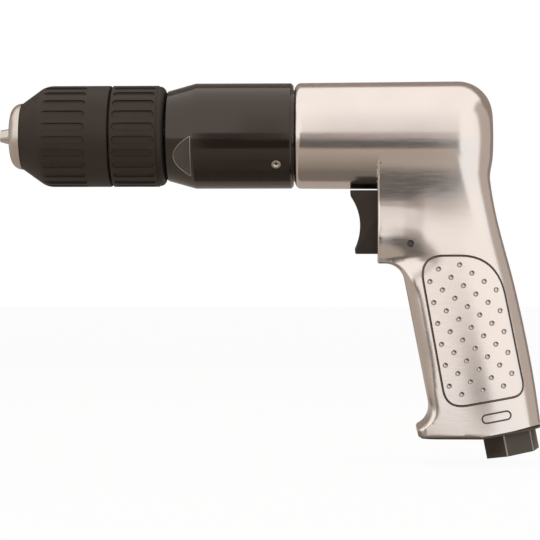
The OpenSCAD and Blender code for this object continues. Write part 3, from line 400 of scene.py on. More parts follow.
def side_inset(x, z):
    """How far the sides of the grip lean in to the back and round off, less a low palm swell."""
    along = x - axis_at(z)
    lean = math.tan(SIDE_LEAN) * eased(z, LEAN_Z) * (along + (GRIP_FRONT - GRIP_BACK) / 2)
    heel_from = HEEL_FROM + (HEEL_FROM_TOP - HEEL_FROM) * eased(z, HEEL_FROM_Z)
    heel = np.maximum(along - heel_from, 0) ** 2 / (2 * HEEL_ROUND_R) * eased(z, HEEL_Z)
    inward = LIP_ROUND_IN * eased(z, LIP_ROUND_Z) + side_outline(x, z)
    lip = np.where(along < LIP_ROUND_ALONG, np.maximum(inward, 0), 0) ** 2 / (2 * LIP_ROUND_R)
    block = BLOCK_IN * eased(x, BLOCK_IN_X) * eased(z, BLOCK_IN_TOP_Z) * eased(z, BLOCK_IN_LOW_Z)
    across = (along - SWELL_ALONG) / SWELL_SPREAD
    up = (z - SWELL_Z) / np.where(z > SWELL_Z, SWELL_SPREAD_UP, SWELL_SPREAD_DOWN)
    return lean + heel + lip + block - SWELL_HEIGHT * np.exp(-(across**2 + up**2) / 2)


def grip_skin(x, y, z):
    front, back = axis_at(z) - GRIP_FRONT, back_at(z)
    middle = (front + back) / 2
    front_r = BLOCK_EDGE_R + (GRIP_FRONT_R - BLOCK_EDGE_R) * eased(z, GRIP_EDGE_Z)
    front_r = front_r + (TOE_EDGE_R - front_r) * eased(z, TOE_EDGE_Z)
    back_r = GRIP_BACK_R + (BARREL_CORNER + 1 - GRIP_BACK_R) * np.maximum(0, 1 + z / BACK_EDGE_REACH) ** 2
    edge_r = front_r + (back_r - front_r) * eased(x - middle, EDGE_ACROSS)
    level = np.maximum(front_at(np.minimum(z, LIP_Z)) - x, x - back) * TILT_COS
    outline = side_outline(x, z)
    outline = outline + (level - outline) * eased(z, LEVEL_TOE_Z)
    skin = round_both(outline, np.abs(y) - half_width(x, z) + side_inset(x, z), edge_r)
    face = np.where(z > LIP_Z - LIP_R, BLOCK_X - x, -50.0)
    return round_both(skin, face, BLOCK_EDGE_R)


def foot_skin(x, z):
    """Level foot and the slanting inlet seat, above the deflector."""
    depth = (x - HANDLE_X0) * TILT_SIN - z * TILT_COS
    return np.maximum(FOOT_Z + DEFLECTOR_T - z, depth - HANDLE_LEN + DEFLECTOR_T)


def housing_skin(p):
    """Barrel and grip, joined smoothly at the back."""
    x, y, z = p.T
    grip = round_both(grip_skin(x, y, z), foot_skin(x, z), FOOT_EDGE_R)
    barrel = barrel_skin(x, y, z)
    reach = BACK_BLEND * eased(x, BACK_BLEND_X) + 1e-3
    return np.minimum(barrel, grip) - np.maximum(reach - np.abs(barrel - grip), 0) ** 2 / (4 * reach)


def surface_net(low, high, step):
    """Points and quads of the housing's skin on a grid."""
    axes = [np.arange(a, b + step, step) for a, b in zip(low, high)]
    shape = tuple(len(a) for a in axes)
    grid = np.stack(np.meshgrid(*axes, indexing="ij"), -1).reshape(-1, 3)
    value = np.concatenate([housing_skin(part) for part in np.array_split(grid, 8)]).reshape(shape)
    inside = value < 0
    corners, unit = np.argwhere(np.ones((2, 2, 2))), np.eye(3, dtype=int)

    def corner(field, c):
        return field[tuple(slice(o, n - 1 + o) for o, n in zip(c, shape))]

    count = sum(corner(inside, c).astype(int) for c in corners)
    active = (count > 0) & (count < 8)
    number = np.full(active.shape, -1)
    number[active] = np.arange(active.sum())
    total, hits = np.zeros((active.sum(), 3)), np.zeros((active.sum(), 1))
    for c, along in ((c, unit[axis]) for c in corners for axis in range(3) if not c[axis]):
        a, b = corner(value, c)[active][:, None], corner(value, c + along)[active][:, None]
        cross = (a < 0) != (b < 0)
        total += cross * (c + a / np.where(cross, a - b, 1) * along)
        hits += cross
    points = np.array(low) + step * (np.argwhere(active) + total / hits)
    quads = []
    for axis in range(3):
        place = np.argwhere(np.diff(inside, axis=axis))
        u, v = unit[axis - 2], unit[axis - 1]
        cells = (place - u - v, place - v, place, place - u)
        ring = np.stack([number[tuple(cell.T)] for cell in cells], 1)
        flip = ~inside[tuple(place.T)]
        ring[flip] = ring[flip][:, ::-1]
        quads.append(ring)
    return points, np.concatenate(quads)


def skin_slope(p, reach=0.05):
    steps = np.eye(3) * reach
    return np.stack([housing_skin(p + s) - housing_skin(p - s) for s in steps], -1) / (2 * reach)


def onto_skin(p, rounds=4):
    """Moves points along the slope of the housing's skin onto its zero level."""
    for _ in range(rounds):
        slope = skin_slope(p)
        size = np.maximum((slope**2).sum(1), 0.2)
        p = p - np.clip(housing_skin(p) / size, -0.6, 0.6)[:, None] * slope
    return p


# Triangles of corners 0 to 2 and middles 3 to 5 of the sides, for no, one, two and three split sides
SPLITS = {0: [(0, 1, 2)], 1: [(0, 3, 2), (3, 1, 2)], 3: [(0, 3, 2), (3, 1, 4), (3, 4, 2)],
          7: [(0, 3, 5), (3, 1, 4), (5, 4, 2), (3, 4, 5)]}


def split_edges(faces, marked, points):
    """Splits the marked edges of triangles at their middles."""
    edges = np.sort(faces[:, [[0, 1], [1, 2], [2, 0]]].reshape(-1, 2), 1)
    unique, index = np.unique(edges, axis=0, return_inverse=True)
    chosen = marked(unique)
    middle = np.full(len(unique), -1)
    middle[chosen] = len(points) + np.arange(chosen.sum())
    added = points[unique[chosen]].mean(1)
    mid = middle[index.reshape(-1)].reshape(-1, 3)
    out = []
    for turn in range(3):
        f = np.hstack([np.roll(faces, -turn, 1), np.roll(mid, -turn, 1)])
        code = (f[:, 3:] >= 0) @ np.array([1, 2, 4])
        for pattern, triangles in SPLITS.items():
            if turn == 0 or pattern in (1, 3):
                out += [f[code == pattern][:, t] for t in triangles]
    return np.concatenate([points, added]), np.concatenate(out), len(points)


# Side panel: a groove round it, rows of pits, and an oval line below it


def from_photo(px, py):
    """Place on the near side of the grip, in X-Z, of a point of the photograph."""
    focal = CAMERA_DISTANCE / PX
    right, up = px - PHOTO_PX / 2, PHOTO_PX / 2 - py
    s, c = math.sin(CAMERA_TURN), math.cos(CAMERA_TURN)
    reach = (-GRIP_HALF - CAMERA[1]) / (focal * c + right * s)
    return np.array((CAMERA[0] + reach * (right * c - focal * s), CAMERA[2] + reach * up))


def panel_outline():
    """Four sides with rounded corners: start of a corner, its control point, its end."""
    corners = [
        ((460.0, 255.6), (497.5, 255.6), (505.7, 296.0)),
        ((522.8, 380.7), (525.7, 395.1), (512.5, 397.5)),
        ((467.9, 405.5), (446.5, 409.3), (443.0, 390.0)),
        ((423.4, 282.0), (418.9, 255.9), (444.0, 255.7)),
    ]
    points = []
    for start, control, end in corners:
        a, b, c = (from_photo(*p) for p in (start, control, end))
        points += [a * (1 - t) ** 2 + b * 2 * t * (1 - t) + c * t * t for t in np.linspace(0, 1, 11)]
    return np.array(points)


panel = field(panel_outline(), (160, -122), (226, -42), 0.25)
GROOVE_R = 0.48
PIT_BALL_R, PIT_DEPTH, PIT_MARGIN = 1.6, 0.5, 2.3
# Painted shade in the pits and grooves: depths over which it grows, depths where pit floors turn lighter
# again, and how much lighter
PIT_WALL, PIT_FLOOR, PIT_FLOOR_BARE, GROOVE_WALL = 0.25, (0.3, 0.45), 0.8, 0.08
PIT_START, PIT_STEP_A, PIT_STEP_B = (459.7, 264.8), (12.45, 8.3), (-8.6, 12.6)
OVAL_AT, OVAL_LEN, OVAL_H, OVAL_LINE_R = (496.5, 417.2), 12.0, 3.5, 0.36
NEAR, FAR = -1, 1


def on_side(x, z, side):
    """Points of the side of the grip at places in X-Z."""
    y = np.full(x.shape, GRIP_HALF)
    for _ in range(8):
        y = y - housing_skin(np.column_stack([x, y, z]))
    return np.column_stack([x, side * y, z])


def groove(name, corners, radius, count, side):
    """Tube that runs round a closed line of the skin."""
    corners = np.vstack([corners, corners[:1]])
    run = np.concatenate([[0], np.cumsum(np.linalg.norm(np.diff(corners, axis=0), axis=1))])
    place = np.linspace(0, run[-1], count, endpoint=False)
    path = on_side(np.interp(place, run, corners[:, 0]), np.interp(place, run, corners[:, 1]), side)
    return loop_tube(name, path, (0.0, side, 0.0), radius)


def pit_centres(side):
    """Centres of the balls that make the pits: a square pattern inside the panel."""
    i, j = np.meshgrid(np.arange(-20, 21), np.arange(-20, 21))
    i, j = i.reshape(-1, 1), j.reshape(-1, 1)
    px = np.array(PIT_START) + i * np.array(PIT_STEP_A) + j * np.array(PIT_STEP_B)
    places = np.array([from_photo(*p) for p in px])
    places = places[panel(*places.T) < -PIT_MARGIN]
    return on_side(*places.T, side) + (0, side * (PIT_BALL_R - PIT_DEPTH), 0)


def oval_groove():
    """Oval line near the foot, on the near side."""
    centre = from_photo(*OVAL_AT)
    half = (OVAL_LEN - OVAL_H) / 2
    turn = np.array([(TILT_COS, TILT_SIN), (-TILT_SIN, TILT_COS)])
    line = centre + np.array(slot_outline(-half, half, 0, OVAL_H / 2, 12)) @ turn
    return groove("oval_groove", line, OVAL_LINE_R, 120, NEAR)


# Repeats: Geometry Nodes that cut many copies of one shape out of a piece


def cutting_tree(name, inputs):
    """Empty tree with the piece, the cutter, the material and other inputs."""
    tree = bpy.data.node_groups.new(name, "GeometryNodeTree")
    tree.is_modifier = True
    sockets = [("Piece", "Geometry"), ("Cutter", "Object"), ("Material", "Material")] + inputs
    for label, kind in sockets:
        tree.interface.new_socket(label, in_out="INPUT", socket_type="NodeSocket" + kind)
    tree.interface.new_socket("Piece", in_out="OUTPUT", socket_type="NodeSocketGeometry")
    return tree, tree.nodes.new("NodeGroupInput")


def cut_copies(tree, inside, points, turn=None):
    """Cuts copies at the points out of the piece, realized, and gives it the material."""
    new, link = tree.nodes.new, tree.links.new
    cutter, copies = new("GeometryNodeObjectInfo"), new("GeometryNodeInstanceOnPoints")
    realize, away = new("GeometryNodeRealizeInstances"), new("GeometryNodeMeshBoolean")
    paint, outside = new("GeometryNodeSetMaterial"), new("NodeGroupOutput")
    away.operation, away.solver = "DIFFERENCE", "MANIFOLD"
    link(inside.outputs["Cutter"], cutter.inputs["Object"])
    link(points, copies.inputs["Points"])
    link(cutter.outputs["Geometry"], copies.inputs["Instance"])
    if turn:
        link(turn, copies.inputs["Rotation"])
    link(copies.outputs["Instances"], realize.inputs["Geometry"])
    link(inside.outputs["Piece"], away.inputs[0])
    link(realize.outputs["Geometry"], away.inputs[1])
    link(away.outputs["Mesh"], paint.inputs["Geometry"])
    link(inside.outputs["Material"], paint.inputs["Material"])
    link(paint.outputs["Geometry"], outside.inputs["Piece"])
    return tree


def reckoned(tree, value, steps):
    """Socket of a value after steps of (operation, number or socket)."""
    for operation, other in steps:
        step = tree.nodes.new("ShaderNodeMath")
        step.operation = operation
        tree.links.new(value, step.inputs[0])
        if isinstance(other, float):
            step.inputs[1].default_value = other
        else:
            tree.links.new(other, step.inputs[1])
        value = step.outputs["Value"]
    return value


def ring_cut_tree():
    """Cuts a count of copies, spread evenly about the spindle."""
    tree, inside = cutting_tree("ring_cut", [("Count", "Int")])
    new, link = tree.nodes.new, tree.links.new
    points, index = new("GeometryNodePoints"), new("GeometryNodeInputIndex")
    turn = new("ShaderNodeCombineXYZ")
    link(inside.outputs["Count"], points.inputs["Count"])
    steps = [("ADD", 0.5), ("MULTIPLY", 2 * math.pi), ("DIVIDE", inside.outputs["Count"])]
    link(reckoned(tree, index.outputs["Index"], steps), turn.inputs["X"])
    return cut_copies(tree, inside, points.outputs["Points"], turn.outputs["Vector"])


def places_cut_tree():
    """Cuts a copy at each point of another object."""
    tree, inside = cutting_tree("places_cut", [("Places", "Object")])
    places = tree.nodes.new("GeometryNodeObjectInfo")
    tree.links.new(inside.outputs["Places"], places.inputs["Object"])
    return cut_copies(tree, inside, places.outputs["Geometry"])


def cut_with(piece, tree, values):
    """Runs a cutting tree on a piece and bakes it; helper objects are used up."""
    modifier = piece.modifiers.new("repeat", "NODES")
    modifier.node_group = tree
    keys = {item.name: item.identifier for item in tree.interface.items_tree if item.in_out == "INPUT"}
    for label, value in values.items():
        modifier[keys[label]] = value
    bake(piece)
    for value in values.values():
        if isinstance(value, bpy.types.Object):
            bpy.data.objects.remove(value)


def ball(name, radius):
    form = bmesh.new()
    bmesh.ops.create_uvsphere(form, u_segments=28, v_segments=18, radius=radius * MM)
    mesh = bpy.data.meshes.new(name)
    form.to_mesh(mesh)
    form.free()
    return placed(name, mesh)


def make_housing():
    """Skin of barrel and grip with its bores, rooms, grooves and pits."""
    points, quads = surface_net(SKIN_LOW, SKIN_HIGH, SKIN_STEP)
    points = onto_skin(points)
    faces = np.concatenate([quads[:, [0, 1, 2]], quads[:, [0, 2, 3]]])
    for target in SPLIT_LENGTHS:
        slope = skin_slope(points)
        normal = slope / np.linalg.norm(slope, axis=1, keepdims=True)

        def marked(edges):
            length = np.linalg.norm(points[edges[:, 0]] - points[edges[:, 1]], axis=1)
            bend = (normal[edges[:, 0]] * normal[edges[:, 1]]).sum(1)
            return (length > target) & (bend < math.cos(SPLIT_BEND))

        points, faces, old = split_edges(faces, marked, points)
        points[old:] = onto_skin(points[old:])
    housing = outward(new_mesh("housing_skin", points, faces))
    gap = TRIGGER_GAP
    trigger_z = (TRIGGER_TOP - TRIGGER_H - gap, TRIGGER_TOP + gap)
    tongue_x = (BLOCK_X, TONGUE_END + TRIGGER_TRAVEL + 0.5)
    tongue_z = (PIN_Z - TONGUE_H / 2 - gap, PIN_Z + TONGUE_H / 2 + gap)
    cutters = [
        rod("bore", (BARREL_X - 5, 0, 0), (MOTOR_BORE_END, 0, 0), MOTOR_BORE_R, 128),
        block("trigger_room", (BLOCK_X - 5, BLOCK_X + POCKET_DEPTH), trigger_z, TRIGGER_W + 2 * gap),
        block("tongue_room", tongue_x, tongue_z, TONGUE_W + 2 * gap),
        rod("rod_room", (BLOCK_X, 0, ROD_Z), (ROD_END + 10, 0, ROD_Z), ROD_R + gap),
        rod("pin_hole", (PIN_X, -40, PIN_Z), (PIN_X, 40, PIN_Z), PIN_R + 0.05),
        rod("passage", on_handle(MOTOR_BORE_R * 0.8), on_handle(SEAT_DEPTH), PASSAGE_R),
        rod("chamber", on_handle(SEAT_DEPTH - 4), on_handle(HANDLE_LEN + 5), CHAMBER_R),
        exhaust_room(),
        *(groove("panel_groove", panel_outline(), GROOVE_R, 420, side) for side in (NEAR, FAR)),
        oval_groove(),
    ]
    cut(housing, cutters)
    places = new_mesh("pit_places", np.vstack([pit_centres(NEAR), pit_centres(FAR)]), [])
    pit_ball = ball("pit_ball", PIT_BALL_R)
    pits = {"Cutter": pit_ball, "Places": places, "Material": FINISHES["cast_aluminium"]}
    cut_with(housing, places_cut_tree(), pits)
    # Painted shade in the grooves and on the walls of the pits
    store_light_and_tone(housing, housing_painted_shade)
    smooth(housing, 36)
    return housing


def housing_painted_shade(points):
    """Painted shade: darker with depth in the grooves and on the walls of the pits of the grip's sides, less
    on the pit floors.
    """
    side = (np.abs(points[:, 1]) > 12) & (points[:, 2] < LIP_Z + 8)
    depth = -housing_skin(points)
    pit = panel(points[:, 0], points[:, 2]) < -1
    wall = np.clip(depth / np.where(pit, PIT_WALL, GROOVE_WALL), 0, 1)
    return wall * (1 - PIT_FLOOR_BARE * pit * eased(depth, PIT_FLOOR)) * side


def flat_edge_highlight(name, side):
    """Thin bright metal line round a wrench flat: a painted highlight along its edge."""
    reach, slope = FLAT_ACROSS / 2, (CASE_EDGE[1] - CASE_NOSE[1]) / (CASE_EDGE[0] - CASE_NOSE[0])
    tip_x = CASE_NOSE[0] + (reach - CASE_NOSE[1]) / slope
    x = tip_x + (FLAT_END - tip_x) * np.linspace(0, 1, 40) ** 2
    turn = np.arccos(np.minimum(reach / (reach + slope * (x - tip_x)), 1))
    end = np.linspace(turn[-1], -turn[-1], 30)[1:-1]
    x = np.concatenate([x, np.full(len(end), FLAT_END), x[:0:-1]])
    turn = np.concatenate([turn, end, -turn[:0:-1]]) + FLAT_CLOCK
    radius = reach + slope * (x - tip_x)
    path = np.column_stack([x, side * radius * np.cos(turn), side * radius * np.sin(turn)])
    out = (0, side * math.cos(FLAT_CLOCK), side * math.sin(FLAT_CLOCK))
    edge = loop_tube(name, path, out, FLAT_LINE_R)
    smooth(edge, 60)
    return edge


def case_flats(points):
    """Marks the wrench flats of the gear case."""
    x, y, z = points.T
    out = np.abs(y * math.cos(FLAT_CLOCK) + z * math.sin(FLAT_CLOCK))
    return (np.abs(out - FLAT_ACROSS / 2) < 0.02) & (x < FLAT_END + 0.1)


# Chuck, trigger and pieces whose edges are softened


def grip_sleeve(name, profile, slots):
    """Turned sleeve with grip slots, steep at the floor and flared at the rim."""
    sleeve = turned(name, profile, 192)
    points = []
    for z, r in SLOT_LAYERS:
        outline = slot_outline(*slots, 0, r, 10)
        points += [(x, y, z) for x, y in outline]
    cutter = lofted(name + "_slot", points, len(outline))
    values = {"Cutter": cutter, "Count": SLOT_COUNT, "Material": FINISHES["chuck_plastic"]}
    cut_with(sleeve, RING_CUT, values)
    # Painted shade on the slot walls and on the rear corner band
    store_light_and_tone(sleeve, sleeve_painted_shade, "FACE")
    smooth(sleeve, 30)
    return sleeve


def sleeve_painted_shade(points):
    """Painted shade: on the walls of the grip slots and on the corner at the rear."""
    size = np.hypot(points[:, 1], points[:, 2])
    wall = (size > SLOT_LAYERS[1][0]) & (size < SLEEVE_R - 0.08) & (points[:, 0] > SLEEVE_ROUND_END)
    return np.where(points[:, 0] > CHUCK_END - REAR_BAND, REAR_SHADE, SLOT_SHADE * wall)


def front_sleeve():
    nose = [(SLEEVE_FRONT, 11.0), (SLEEVE_FRONT, SLEEVE_NOSE_R - 0.2), (SLEEVE_FRONT + 0.2, SLEEVE_NOSE_R)]
    middle = (SLEEVE_ROUND_END, SLEEVE_R - SLEEVE_ROUND_R)
    round_in = arc(middle, SLEEVE_ROUND_R, 90 + SLEEVE_CONE, 90, 8)
    rear = [(SLEEVE_SPLIT - SLEEVE_EDGE, SLEEVE_R), (SLEEVE_SPLIT, SLEEVE_R - SLEEVE_EDGE)]
    return grip_sleeve("front_sleeve_skin", nose + round_in + rear + FRONT_BORE, FRONT_SLOTS)


def rear_sleeve():
    start, edge_x, rim_r = SLEEVE_REAR, CHUCK_END - REAR_BAND, SLEEVE_R - REAR_STEP
    front = [(start, JAW_ROOM_R), (start, SLEEVE_R - SLEEVE_EDGE), (start + SLEEVE_EDGE, SLEEVE_R)]
    edge = [(edge_x - 0.1, SLEEVE_R), (edge_x, rim_r)]
    corner = arc((CHUCK_END - REAR_CORNER_R, rim_r - REAR_CORNER_R), REAR_CORNER_R, 80, 0, 10)
    seat = [(CHUCK_END, CHUCK_BODY_R), (edge_x, CHUCK_BODY_R), (edge_x, JAW_ROOM_R)]
    return grip_sleeve("rear_sleeve_skin", front + edge + corner + seat, REAR_SLOTS)


def bevelled(obj, width, angle=30.0):
    """Rounds the edges that are sharper than an angle."""
    bevel = obj.modifiers.new("edges", "BEVEL")
    bevel.width = width * MM
    bevel.segments = 3
    bevel.limit_method = "ANGLE"
    bevel.angle_limit = math.radians(angle)
    bake(obj)
    smooth(obj, 35)
    return obj


def softened(node, width, angle=30.0):
    """Copy of a node with its edges rounded."""
    form = bmesh.new()
    form.from_mesh(NODES[node].data)
    bmesh.ops.remove_doubles(form, verts=form.verts, dist=1e-6)
    bmesh.ops.dissolve_limit(form, angle_limit=math.radians(0.3), verts=form.verts, edges=form.edges)
    mesh = bpy.data.meshes.new(node + "_skin")
    form.to_mesh(mesh)
    form.free()
    return bevelled(placed(node + "_skin", mesh), width, angle)


def trigger_skin():
    """Trigger with its finger dish, and the tongue and rod behind it."""
    front, back = BLOCK_X - TRIGGER_REACH, BLOCK_X + POCKET_DEPTH - TRIGGER_TRAVEL - 1
    low = TRIGGER_TOP - TRIGGER_H
    z = np.linspace(TRIGGER_TOP, low, 54)
    line = front + HEEL_IN * (TRIGGER_TOP - z) / TRIGGER_H
    dish = front + DISH_IN - DISH_R + np.sqrt(DISH_R**2 - (z - DISH_Z) ** 2)
    outline = list(zip(np.maximum(line, dish), z)) + [(back, low), (back, TRIGGER_TOP)]
    head = bevelled(extruded("trigger_skin", outline, -TRIGGER_W / 2, TRIGGER_W / 2), 0.8)
    tongue_z = (PIN_Z - TONGUE_H / 2, PIN_Z + TONGUE_H / 2)
    tongue = block("tongue", (back - 1, TONGUE_END), tongue_z, TONGUE_W)
    cut(head, [tongue, rod("rod", (back - 1, 0, ROD_Z), (ROD_END, 0, ROD_Z), ROD_R)], "UNION")
    slot = slot_outline(PIN_X - TRIGGER_TRAVEL, PIN_X, PIN_Z, PIN_R + 0.1, 12)
    cut(head, [extruded("pin_slot", slot, -TRIGGER_W, TRIGGER_W)])
    smooth(head, 35)
    return head


def inlet_skin():
    """Inlet bushing with its hexagon turned, a little smaller, with lighter corners, partly worn bare metal
    and partly a painted highlight.
    """
    bushing = softened("inlet_bushing", 0.5)
    middle = np.array(on_handle(0))
    down, back = np.array(on_handle(1)) - middle, np.array(on_handle(0, 1)) - middle

    def on_axes(points):
        far = points - middle
        return far @ down, far @ back, far[:, 1]

    points = np.empty(3 * len(bushing.data.vertices))
    bushing.data.vertices.foreach_get("co", points)
    depth, out, across = on_axes(points.reshape(-1, 3) / MM)
    size, turn = np.hypot(out, across), np.arctan2(across, out) + HEX_TURN
    size = np.where((depth > HANDLE_LEN - DEFLECTOR_T) & (size > HEX_INNER_R), size * HEX_SHARE, size)
    moved = middle + np.outer(depth, down) + np.outer(size * np.cos(turn), back)
    moved[:, 1] = size * np.sin(turn)
    bushing.data.vertices.foreach_set("co", (moved * MM).reshape(-1))
    bushing.data.update()

    # Corners of the hexagon that get a lighter colour: partly worn bare metal, partly a painted highlight
    def corners(points):
        _, out, across = on_axes(points)
        return np.hypot(out, across) > HEX_CORNER_R

    store_light_and_tone(bushing, corners, "FACE")
    return bushing


def pin_skin():
    """Trigger pin, set a little below the sides."""
    ends = [(PIN_X, side * (GRIP_HALF - PIN_BELOW), PIN_Z) for side in (NEAR, FAR)]
    return bevelled(rod("trigger_pin_skin", *ends, PIN_R), 0.3)


def exhaust_room():
    """Room in front of the inlet for the silencer, open at the foot."""
    (top, low), (front, back) = EXHAUST_DEPTH, EXHAUST_OUT
    corners = [on_handle(top, front), on_handle(top, back), on_handle(low, back), on_handle(low, front)]
    return extruded("exhaust_room", [(p[0], p[2]) for p in corners], -EXHAUST_HALF, EXHAUST_HALF)


# Materials


def effect_group(name, inputs):
    """Empty shader node group that gives Height for bump and Mottle for colour."""
    tree = bpy.data.node_groups.new(name, "ShaderNodeTree")
    for label, value in inputs:
        socket = tree.interface.new_socket(label, in_out="INPUT", socket_type="NodeSocketFloat")
        socket.default_value = value
    for label in ("Height", "Mottle"):
        tree.interface.new_socket(label, in_out="OUTPUT", socket_type="NodeSocketFloat")
    return tree, tree.nodes.new("NodeGroupInput"), tree.nodes.new("NodeGroupOutput")


def preset(node, values):
    """Sets inputs of a node by their labels."""
    for label, value in values.items():
        node.inputs[label].default_value = value


def noise(tree, place, detail, scale=1.0):
    """Noise node that reads a place."""
    node = tree.nodes.new("ShaderNodeTexNoise")
    preset(node, {"Detail": detail, "Scale": scale})
    tree.links.new(place, node.inputs["Vector"])
    return node


def grain_group():
    """Fine even grain; scales are in 1/m."""
    scales = [("Scale", 4000.0), ("Mottle Scale", 60.0)]
    tree, inside, outside = effect_group("fine_grain", scales)
    place = tree.nodes.new("ShaderNodeTexCoord").outputs["Object"]
    for label, socket, detail in (("Scale", "Height", 2.0), ("Mottle Scale", "Mottle", 4.0)):
        grain = noise(tree, place, detail)
        tree.links.new(inside.outputs[label], grain.inputs["Scale"])
        tree.links.new(grain.outputs["Fac"], outside.inputs[socket])
    return tree


def lines_group():
    """Fine lines left by polishing or turning, drawn out by a stretch along each axis."""
    stretches = [("Along X", 200.0), ("Along Y", 2500.0), ("Along Z", 2500.0)]
    tree, inside, outside = effect_group("polish_lines", stretches)
    new, link = tree.nodes.new, tree.links.new
    place, stretch = new("ShaderNodeTexCoord").outputs["Object"], new("ShaderNodeCombineXYZ")
    for socket, (label, _) in zip("XYZ", stretches):
        link(inside.outputs[label], stretch.inputs[socket])
    drawn = new("ShaderNodeVectorMath")
    drawn.operation = "MULTIPLY"
    link(place, drawn.inputs[0])
    link(stretch.outputs["Vector"], drawn.inputs[1])
    link(noise(tree, drawn.outputs["Vector"], 3.0).outputs["Fac"], outside.inputs["Height"])
    link(noise(tree, place, 3.0, 55.0).outputs["Fac"], outside.inputs["Mottle"])
    return tree


def with_light_and_tone(tree, colour, light_and_tone_colour):
    """Colour mixed towards a second colour by the stored share: painted shade in recesses, painted highlights
    on corners and lighter own tones.
    """
    recess, mix = tree.nodes.new("ShaderNodeAttribute"), tree.nodes.new("ShaderNodeMix")
    recess.attribute_name = "recess"
    mix.data_type = "RGBA"
    share, clean, dark = (socket for socket in mix.inputs if socket.enabled)
    tree.links.new(recess.outputs["Fac"], share)
    tree.links.new(colour, clean)
    dark.default_value = (*light_and_tone_colour, 1)
    return next(socket for socket in mix.outputs if socket.enabled)


GRAIN, LINES, FINISHES = grain_group(), lines_group(), {}


# light_and_tone_colour is the second colour: painted shade, painted highlight or an own lighter tone, by
# piece
def finish(name, colour, spread, roughness, metallic, effect, values, bump, rough_spread=0.06, light_and_tone_colour=None,
           gloss=1.5, tint=(1, 1, 1)):
    """Material whose colour follows the mottle of an effect, and its roughness and bump the height."""
    material = bpy.data.materials.new(name)
    material.use_nodes = True
    tree = material.node_tree
    new, link = tree.nodes.new, tree.links.new
    shader, group = tree.nodes["Principled BSDF"], new("ShaderNodeGroup")
    tone, rough, relief = new("ShaderNodeValToRGB"), new("ShaderNodeMapRange"), new("ShaderNodeBump")
    group.node_tree = effect
    preset(group, values)
    preset(shader, {"Metallic": metallic, "IOR": gloss, "Specular Tint": (*tint, 1)})
    for element, place, share in zip(tone.color_ramp.elements, MIDDLE, (1 - spread, 1 + spread)):
        element.position = place
        element.color = (*(min(1, c * share) for c in colour), 1)
    link(group.outputs["Mottle"], tone.inputs["Fac"])
    base = tone.outputs["Color"]
    link(with_light_and_tone(tree, base, light_and_tone_colour) if light_and_tone_colour else base, shader.inputs["Base Color"])
    preset(rough, {"From Min": MIDDLE[0], "From Max": MIDDLE[1]})
    preset(rough, {"To Min": roughness - rough_spread, "To Max": roughness + rough_spread})
    link(group.outputs["Height"], rough.inputs["Value"])
    link(rough.outputs["Result"], shader.inputs["Roughness"])
    preset(relief, {"Strength": bump, "Distance": 0.0001})
    link(group.outputs["Height"], relief.inputs["Height"])
    link(relief.outputs["Normal"], shader.inputs["Normal"])
    FINISHES[name] = material


# Part of a noise that is in use, stretches of the polish and turning lines, and a warm sheen
MIDDLE = (0.3, 0.7)
ALONG = {"Along X": 150.0, "Along Y": 1800.0, "Along Z": 1800.0}
AROUND = {"Along X": 3500.0, "Along Y": 120.0, "Along Z": 120.0}
WARM = (1.0, 0.86, 0.76)

# Each finish: colour and its spread, roughness, metallic, effect and its values, bump, roughness spread
# The second colour of cast_aluminium is painted shade in the grooves and on the pit walls
finish("cast_aluminium", (0.85, 0.785, 0.745), 0.02, 0.18, 1.0, LINES, ALONG, 0.012, 0.025,
       light_and_tone_colour=(0.13, 0.105, 0.09))
finish("black_case", (0.008, 0.006, 0.0048), 0.12, 0.13, 0.0, LINES, AROUND, 0.03, 0.03,
       light_and_tone_colour=(0.05, 0.046, 0.044), gloss=1.72, tint=WARM)
# The second colour of chuck_plastic is painted shade on the slot walls and the rear corner band
finish("chuck_plastic", (0.02, 0.0145, 0.0108), 0.15, 0.52, 0.0, GRAIN, {"Scale": 3500.0}, 0.2,
       light_and_tone_colour=(0.0055, 0.0042, 0.0035), tint=WARM)
finish("bright_steel", (0.66, 0.61, 0.56), 0.06, 0.3, 1.0, LINES, AROUND, 0.08)
finish("dark_steel", (0.12, 0.11, 0.105), 0.1, 0.38, 1.0, LINES, AROUND, 0.08)
finish("trigger_plastic", (0.018, 0.0133, 0.0105), 0.12, 0.46, 0.0, GRAIN, {"Scale": 4500.0}, 0.15,
       tint=WARM)
# The second colour of black_steel is for the lighter hexagon corners: worn bare metal with a painted
# highlight
finish("black_steel", (0.075, 0.06, 0.046), 0.15, 0.36, 0.3, GRAIN, {"Scale": 2500.0}, 0.12,
       light_and_tone_colour=(0.4, 0.37, 0.34))
finish("valve_brass", (0.72, 0.5, 0.22), 0.06, 0.28, 1.0, LINES, AROUND, 0.06)
finish("seal_rubber", (0.02, 0.02, 0.02), 0.1, 0.6, 0.0, GRAIN, {"Scale": 3000.0}, 0.15)
finish("felt", (0.35, 0.3, 0.25), 0.2, 0.85, 0.0, GRAIN, {"Scale": 1800.0}, 0.6)
finish("vane_composite", (0.24, 0.13, 0.06), 0.15, 0.5, 0.0, LINES, ALONG, 0.1)
finish("gear_steel", (0.52, 0.5, 0.48), 0.06, 0.3, 1.0, LINES, AROUND, 0.06)

for name, node in NODES.items():
    node.data.materials.clear()
    node.data.materials.append(FINISHES[SLOT_OF[name]])


def rides(piece, node, slot):
    """A piece moves with the body of a node and has a slot."""
    piece.data.materials.clear()
    piece.data.materials.append(FINISHES[slot])
    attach(piece, BODY_OF[node])


def stands_for(piece, node):
    """A finished piece takes the place of a node."""
    rides(piece, node, SLOT_OF[node])
    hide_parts(node)


